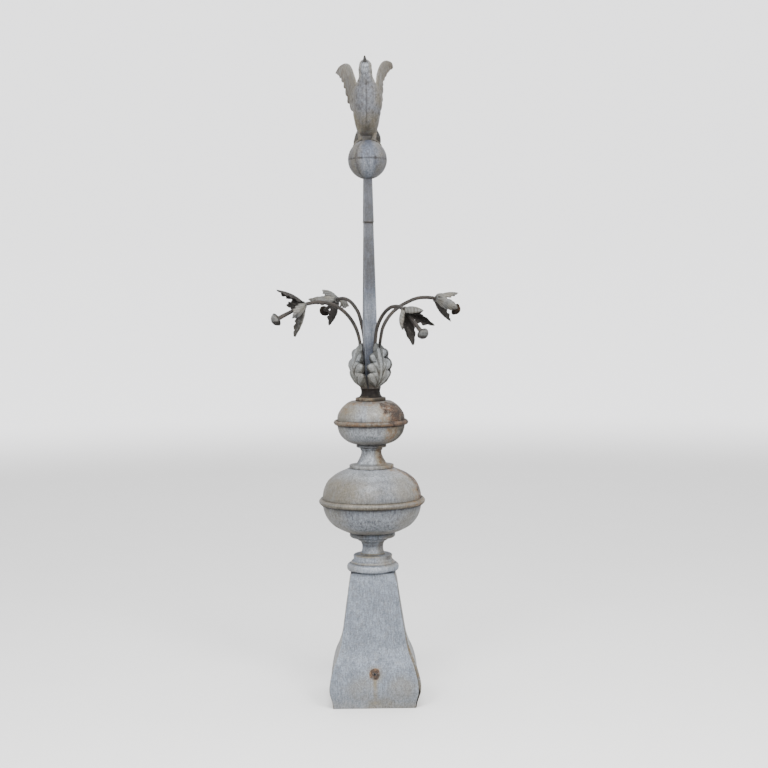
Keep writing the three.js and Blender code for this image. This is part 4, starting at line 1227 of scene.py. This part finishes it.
def buildArm(key, arm):
    at, hub, bud, axis, side, up = armFrame(arm)
    length = float(np.linalg.norm(bud - hub))
    track = [at(p) for p in arm["path"]] + [hub, hub + axis * 8]
    line = [np.array(p) for p in curve(track, 110)]
    rod = stemSettings
    radii = [rod["radius"] + rod["beyond"] * smooth(*rod["reach"], math.hypot(p[0], p[1])) for p in line]
    for t in np.linspace(0.14, 1, 16):
        line.append(hub + axis * (length - rod["budGap"]) * t)
        radii.append(rod["radius"] + rod["atBud"] * smooth(0.2, 1, t))
    stem = rodShape(line, radii, 18, ord(key))
    place(stem, f"stem{key.upper()}", "ironStem", "rusted_iron", 60)

    rosette = Shape()
    washer = [(5.0, -1), (9, -1), (9.4, 0.3), (9, 1.5), (5.0, 1.5)]
    ring = addTurnedOn(rosette, hub, axis, up, washer, 28, [0.7, 0.5, 0.3, 0.5, 0.9])
    rosette.addGrid(ring, closeU=True, closeV=True)
    for index, (turn, spread, reach, cupShare, shade, plain) in enumerate(arm["leaves"]):
        angle = math.radians(turn)
        radial = up * math.cos(angle) + side * math.sin(angle)
        addLeaf(rosette, hub, axis, radial, spread, reach, cupShare, shade, plain, ord(key) + index * 1.3)
    place(rosette, f"rosette{key.upper()}", "zincLeaf", "zinc_pale", 50)

    cap = Shape()
    s = budSettings[key]
    rim, dome = s["rim"], s["dome"]
    profile = [(0.5, -1.5), (6, -2), (9.4, -0.4)]
    profile += [(0.92 * rim, 0.4), (rim, 1.4), (rim + 0.1, 2.6), (rim - 0.8, 3.6)]
    profile += [(dome, 3.9), (dome + 0.3, 5.4), (dome * 0.93, 8.4), (dome * 0.75, 11.4)]
    profile += [(dome * 0.5, 13.6), (dome * 0.27, 14.7), (0.5, 15.1)]
    # The back of the cap, its rim and the groove above it are painted dark: dirt and painted shade
    dirtAndShade = [0.9] * 6 + [0.95, 0.9, 0.4] + [s["grime_and_shade"]] * 5
    grid = addTurnedOn(cap, bud, axis, up, profile, 36, dirtAndShade, s["rust"])
    # Painted shade: the bud darkens over its lower side, by the below share
    for index, point in enumerate(cap.points):
        below = (bud[2] + axis[2] * 6) * mm - point[2]
        cap.masks["grime_and_shade"][index] += s["below"] * smooth(-0.001, 0.007, below)
    cap.addTube(grid)
    place(cap, f"bud{key.upper()}", s["look"], "dark_zinc", 40)


for key, arm in armSettings.items():
    buildArm(key, arm)
print("arms built")

# Bird, in millimetres from the ball's centre
birdSettings = {
    "body": [
        # centre y, z, half width, half depth, pitch, x offset
        (32, 62, 9, 8, 15, 0), (22, 67, 21, 19, 12, 0), (10, 82, 28, 31, 8, 0), (0, 100, 32, 40, 2, 0),
        (-10, 120, 36, 43, -4, 0), (-17, 142, 40, 42, -10, 0), (-23, 163, 37, 37, -16, 0),
        (-33, 184, 25, 28, -16, 0), (-43, 200, 18.4, 21, -8, -1), (-50, 214, 17, 19, 2, -2),
        (-54, 227, 16, 17, 8, -2), (-55, 235, 13.4, 14, 8, -2), (-56, 240.5, 8.4, 9, 8, -2),
        (-56, 242.6, 2.8, 3, 8, -2),
    ],
    "beak": [
        (-60, 235, 6, 5), (-68, 238, 5, 4.8), (-75, 240, 4.1, 4.2), (-84, 242.6, 2.9, 3.1),
        (-90.5, 244.4, 1.8, 1.6), (-92.4, 244.8, 0.8, 0.6),
    ],
    "eyes": [(-8.6, -69, 233.4), (3.6, -69, 233.2)],
    "wingLeft": [
        ((-22, -34, 166), (-34, 56, 126), 8), ((-26, -38, 190), (-46, 54, 150), 7),
        ((-32, -26, 212), (-52, 40, 172), 5.5), ((-38, -2, 232), (-58, 38, 195), 4.6),
        ((-46, 34, 247), (-66, 54, 214), 4), ((-57, 72, 255), (-75, 82, 229), 3.4),
        ((-70, 94, 252), (-80, 99, 234), 2.6), ((-76, 100, 245), (-81, 101.5, 237), 1.8),
    ],
    "wingRight": [
        ((22, -34, 162), (30, 56, 126), 8), ((25, -38, 186), (38, 54, 152), 7),
        ((27, -28, 208), (41, 40, 180), 5.5), ((32, 0, 230), (42, 38, 199), 4.6),
        ((40, 36, 250), (48, 54, 216), 4), ((51, 74, 262), (58, 78, 235), 3.4),
        ((64, 96, 261.2), (68, 99, 246), 2.6), ((68, 102, 256), (69, 103, 250), 1.8),
    ],
    "tail": [
        (22, 86, 19, 16), (50, 88, 23, 10), (80, 82, 27.5, 7), (112, 73, 33.5, 5), (142, 59, 35.5, 4),
        (165.5, 49.5, 26, 3),
    ],
    "beakX": -2.6,
    "eyeRadius": 1.5,
    "legX": 17.5,
    # Azimuth of each toe from the front, and its length
    "toes": {-18: 22, 26: 22, 60: 22, 172: 11},
}
ballTop = np.array((0, 0, ballSettings["centre"]))


def birdPoint(shape, p, grime_and_shade=0.0, rust=0.0, wear=0.0, warm=0.0):
    return shape.addPoint((np.array(p) + ballTop) * mm, grime_and_shade, rust, wear, warm)


def bodyMasks(x, z, dx, dd, seam, strand):
    # Grime and painted shade, rust, painted highlight and warm film round the body; dx and dd point right and
    # back. Darker in the chest seam and the feather grooves; painted shade low under the body and in a spot
    # between the legs at the front; a painted highlight on the front, stronger towards the top
    low = 1 - smooth(92, 124, z)
    dirtAndShade = 0.08 + 0.65 * (seam < -0.35) + 0.3 * low
    dirtAndShade += 0.4 * smooth(-0.1, -0.7, strand) * (1 - smooth(205, 225, z))
    dirtAndShade += 0.4 * math.exp(-(((x - 1) / 9) ** 2) - (((z - 84) / 9) ** 2)) * (dd < 0)
    dirtAndShade += 0.15 * smooth(120, 150, z) * (1 - smooth(170, 200, z))
    paintedHighlight = max(-dd, 0) * (0.05 + 0.8 * smooth(170, 222, z)) * (1 - 0.8 * low) * (0.75 + 0.25 * strand)
    film = 0.75 * low + 0.6 * smooth(0.3, 0.85, dx) * smooth(110, 140, z)
    film += 0.55 * smooth(0.45, 0.9, -dx)
    return min(dirtAndShade, 0.9), 0.12 * low, paintedHighlight, min(film, 1)


def addBody(shape):
    rows = curve(birdSettings["body"], 96)
    grid = []
    segments = 72
    for y, z, a, b, pitch, x0 in rows:
        c, s = math.cos(math.radians(pitch)), math.sin(math.radians(pitch))
        ring = []
        for j in range(segments):
            angle = tau * j / segments
            dx, dd = math.cos(angle), math.sin(angle)
            seam = -0.7 * math.exp(-((dx * a / 1.3) ** 2)) * (dd < 0) * smooth(80, 100, z)
            seam *= 1 - smooth(205, 225, z)
            strand = math.sin(dx * a * 0.75 + 2.2 * wobble((dx, z / 22, 0), 1.4, 2.0)) * smooth(70, 90, z)
            scale = math.cos(dx * a * 0.62) * math.cos(z * 0.36 + abs(dx) * 7) * smooth(100, 125, z)
            strand = 0.45 * strand + 0.75 * scale
            downy = 0.9 * strand * (1 - smooth(218, 232, z))
            downy += 0.9 * wobble((x0 + dx * a, dd * b, z), 0.09, 6.0)
            r = 1 + (seam + downy) / max(a, 8)
            x = x0 + dx * a * r
            d = dd * b * r
            masks = bodyMasks(x, z, dx, dd, seam, strand)
            ring.append(birdPoint(shape, (x, y + d * c, z + d * s), *masks))
        grid.append(ring)
    shape.addTube(grid)


def addBeak(shape):
    grid = []
    for y, z, a, b in curve(birdSettings["beak"], 24):
        ring = []
        for j in range(20):
            angle = tau * j / 20
            rise = b * math.sin(angle)
            point = (birdSettings["beakX"] + a * math.cos(angle), y + 0.35 * rise, z + rise)
            ring.append(birdPoint(shape, point, 0.6, 0, 0, 0.4))
        grid.append(ring)
    shape.addTube(grid)
    for eye in birdSettings["eyes"]:
        rings = []
        for k in range(7):
            angle = math.pi * (k / 6 - 0.5)
            ring = []
            for j in range(12):
                turn = tau * j / 12
                flat = math.cos(angle)
                offset = np.array((math.sin(angle), flat * math.cos(turn), flat * math.sin(turn)))
                offset = offset * birdSettings["eyeRadius"]
                ring.append(birdPoint(shape, np.array(eye) + offset, 0.9))
            rings.append(ring)
        shape.addGrid(rings, closeV=True)


def wingRelief(u, t):
    # Height of the long feathers and of the small ones near the lead, and the dark lines between
    quill = abs(math.sin(math.pi * (u * 13 + t * 2.2)))
    scale = abs(math.sin(math.pi * (u * 9 + t * 14)))
    far = smooth(0.3, 0.45, t)
    near = (1 - smooth(0.25, 0.4, t)) * smooth(0.02, 0.1, t)
    return 0.8 * quill * far, 0.7 * scale * near, 0.8 * (1 - quill) ** 2 * far + 0.5 * (1 - scale) ** 2 * near


def addWing(shape, rows, side):
    flat = [list(lead) + list(trail) + [thick] for lead, trail, thick in rows]
    steps = curve(flat, 72)
    columns = 44
    sheets = {1: [], -1: []}
    for i, row in enumerate(steps):
        u = i / (len(steps) - 1)
        lead, trail, thick = np.array(row[:3]), np.array(row[3:6]), row[6]
        chord = trail - lead
        size = float(np.linalg.norm(chord))
        for face in (1, -1):
            ring = []
            for j in range(columns + 1):
                t = j / columns
                body = (0.35 + 0.65 * math.sin(math.pi * min(t * 1.15 + 0.08, 1))) * thick / 2
                feather, covert, lines = wingRelief(u, t)
                tufted = 0.08 * (1 - smooth(0.45, 0.75, u)) + 0.04
                ragged = 1 + tufted * (abs(math.sin(math.pi * u * 8.5)) - 0.6) * smooth(0.5, 1, t)
                point = lead + chord * min(t * ragged, 1.08)
                point = point + np.array((face * (body + (feather + covert) * 0.8) * min(1, size / 20), 0, 0))
                tone = 0.18 + 0.2 * smooth(0.55, 0.95, u) + 0.4 * max(wobble(point, 0.09, 3.0), 0)
                tone += 0.35 * smooth(0.93, 1, t) + 0.35 * smooth(0.96, 1, u)
                ring.append(birdPoint(shape, point, min(tone + lines, 0.9), 0.16, 0.35 * (t < 0.08), 0.7))
            sheets[face].append(ring)
    shape.addSheet(sheets[1], sheets[-1], flip=side > 0)


def addTail(shape):
    rows = curve(birdSettings["tail"], 46)
    top = []
    bottom = []
    columns = 40
    for i, (y, z, half, thick) in enumerate(rows):
        u = i / (len(rows) - 1)
        rowA = []
        rowB = []
        for j in range(columns + 1):
            t = -1 + 2 * j / columns
            quill = abs(math.sin(math.pi * 3.5 * t)) * 0.9
            x = -4 * smooth(0.6, 1, u) + t * half
            arch = -1.8 * t * t
            line = 0.7 * (1 - abs(math.sin(math.pi * 3.5 * t))) ** 2
            thin = thick * 0.5 * (1 - 0.5 * t * t)
            rowA.append(birdPoint(shape, (x, y, z + arch + thin * 0.9 + quill), 0.35 + line, 0.1, 0, 0.5))
            # Painted shade: the underside darkens towards the right side, which is in shade
            dirtAndShade = 0.35 + 0.55 * smooth(-5, 12, x)
            rowB.append(birdPoint(shape, (x, y, z + arch - thin * 0.9), dirtAndShade, 0, 0, 0.6))
        top.append(rowA)
        bottom.append(rowB)
    shape.addSheet(top, bottom)


def addLimb(shape, points, radii, sides, grime_and_shade):
    pts = [np.array(p) for p in curve([list(p) + [r] for p, r in zip(points, radii)], 24)]
    grid = []
    for i, row in enumerate(pts):
        p, r = row[:3], row[3]
        tangent = unit(pts[min(i + 1, len(pts) - 1)][:3] - pts[max(i - 1, 0)][:3])
        normal = unit(np.cross(tangent, (1.0, 0.2, 0)))
        around = spokes(normal, np.cross(tangent, normal), sides)
        grid.append([birdPoint(shape, p + spoke * r, grime_and_shade, 0.15, 0.2, 0.8) for spoke in around])
    shape.addTube(grid)


def addLegs(shape):
    for side in (-1, 1):
        x = side * birdSettings["legX"]
        leg = [(x - side * 3, 12, 88), (x - side * 1.5, 13, 72), (x, 15, 60), (x, 16, 50)]
        addLimb(shape, leg, [12, 9.4, 6, 4.6], 18, 0.3)
        for spread, reach in birdSettings["toes"].items():
            turn = math.radians(spread)
            direction = np.array((side * math.sin(turn), -math.cos(turn)))
            track = []
            for t, above in ((0, 3.4), (0.35, 2.6), (0.7, 2.0), (1, 0.9)):
                flat = np.array((x, 15)) + direction * reach * t
                onBall = math.sqrt(max((ballSettings["radius"] + 0.6) ** 2 - flat.dot(flat), 0))
                track.append((flat[0], flat[1], onBall + above))
            addLimb(shape, track, [3.6, 3.0, 2.4, 0.9], 10, 0.6)


def buildBird():
    shape = Shape()
    addBody(shape)
    addBeak(shape)
    addWing(shape, birdSettings["wingLeft"], -1)
    addWing(shape, birdSettings["wingRight"], 1)
    addTail(shape)
    addLegs(shape)
    place(shape, "birdFigure", "zincBird", "zinc_brown", 55, "bird")


buildBird()
print("bird built")


# Stage, light and camera
stageSettings = {"flat": 4.8, "bend": 1.6, "wallTop": 4.5}


def floorMaterial():
    material = bpy.data.materials.new("paleFloor")
    material.use_nodes = True
    tree = material.node_tree
    shader = tree.nodes["Principled BSDF"]
    place = tree.nodes.new("ShaderNodeTexCoord").outputs["Object"]
    drift = noiseNode(tree, place, 3, 3)
    split = tree.nodes.new("ShaderNodeSeparateXYZ")
    link(tree, place, split.inputs[0])
    rise = rangeNode(tree, split.outputs["Z"], 0.0, 0.3)
    ground = mixColor(tree, drift, (0.51, 0.506, 0.498, 1), (0.53, 0.526, 0.518, 1))
    link(tree, mixColor(tree, rise, ground, (0.93, 0.925, 0.925, 1)), shader.inputs["Base Color"])
    shader.inputs["Roughness"].default_value = 0.75
    return material


def buildStage():
    flat, bend = stageSettings["flat"], stageSettings["bend"]
    rows = [(0.0, 0.0), (1.2, 0.0), (3.0, 0.0), (flat, 0.0)]
    for k in range(1, 13):
        angle = math.pi / 2 * k / 12
        rows.append((flat + bend * math.sin(angle), bend * (1 - math.cos(angle))))
    rows.append((flat + bend, stageSettings["wallTop"]))
    points = []
    faces = []
    segments = 64
    for r, z in rows:
        for j in range(segments):
            angle = tau * j / segments
            points.append((r * math.cos(angle), r * math.sin(angle), z))
    for i in range(len(rows) - 1):
        for j in range(segments):
            k = (j + 1) % segments
            a, b = i * segments, (i + 1) * segments
            faces.append((a + j, b + j, b + k, a + k))
    mesh = bpy.data.meshes.new("floor")
    mesh.from_pydata(points, [], faces)
    for polygon in mesh.polygons:
        polygon.use_smooth = True
    mesh.materials.append(floorMaterial())
    addObject("floor", mesh)


def areaLight(name, place, target, size, power, color):
    data = bpy.data.lights.new(name, "AREA")
    data.size = size
    data.energy = power
    data.color = color
    lamp = addObject(name, data)
    lamp.location = place
    lamp.rotation_euler = (Vector(target) - Vector(place)).to_track_quat("-Z", "Y").to_euler()


buildStage()
areaLight("lightRight", (1.19, -1.95, 2.05), (0, 0, 0.85), 0.7, 85, (1.0, 0.985, 0.96))
areaLight("lightLeft", (-0.9, -2.0, 1.9), (0, 0, 0.85), 0.7, 70, (0.97, 0.985, 1.0))
areaLight("lightTop", (0.1, -1.9, 3.3), (0, 0, 0.8), 1.2, 150, (1.0, 1.0, 1.0))

world = bpy.data.worlds.new("studio")
bpy.context.scene.world = world
world.use_nodes = True
world.node_tree.nodes["Background"].inputs["Color"].default_value = (0.93, 0.94, 0.96, 1)
world.node_tree.nodes["Background"].inputs["Strength"].default_value = 2.8

cameraSettings = {
    "place": (0.0346, -3.507, 1.008),
    "tiltDown": 3.175,
    "roll": 0.75,
    "lens": 64.22,
    "sensor": 36,
}
cameraData = bpy.data.cameras.new("camera")
cameraData.lens = cameraSettings["lens"]
cameraData.sensor_width = cameraSettings["sensor"]
camera = addObject("camera", cameraData)
camera.matrix_world = (
    Matrix.Translation(cameraSettings["place"])
    @ Matrix.Rotation(math.radians(90 - cameraSettings["tiltDown"]), 4, "X")
    @ Matrix.Rotation(math.radians(-cameraSettings["roll"]), 4, "Z")
)
bpy.context.scene.camera = camera
print("stage set")
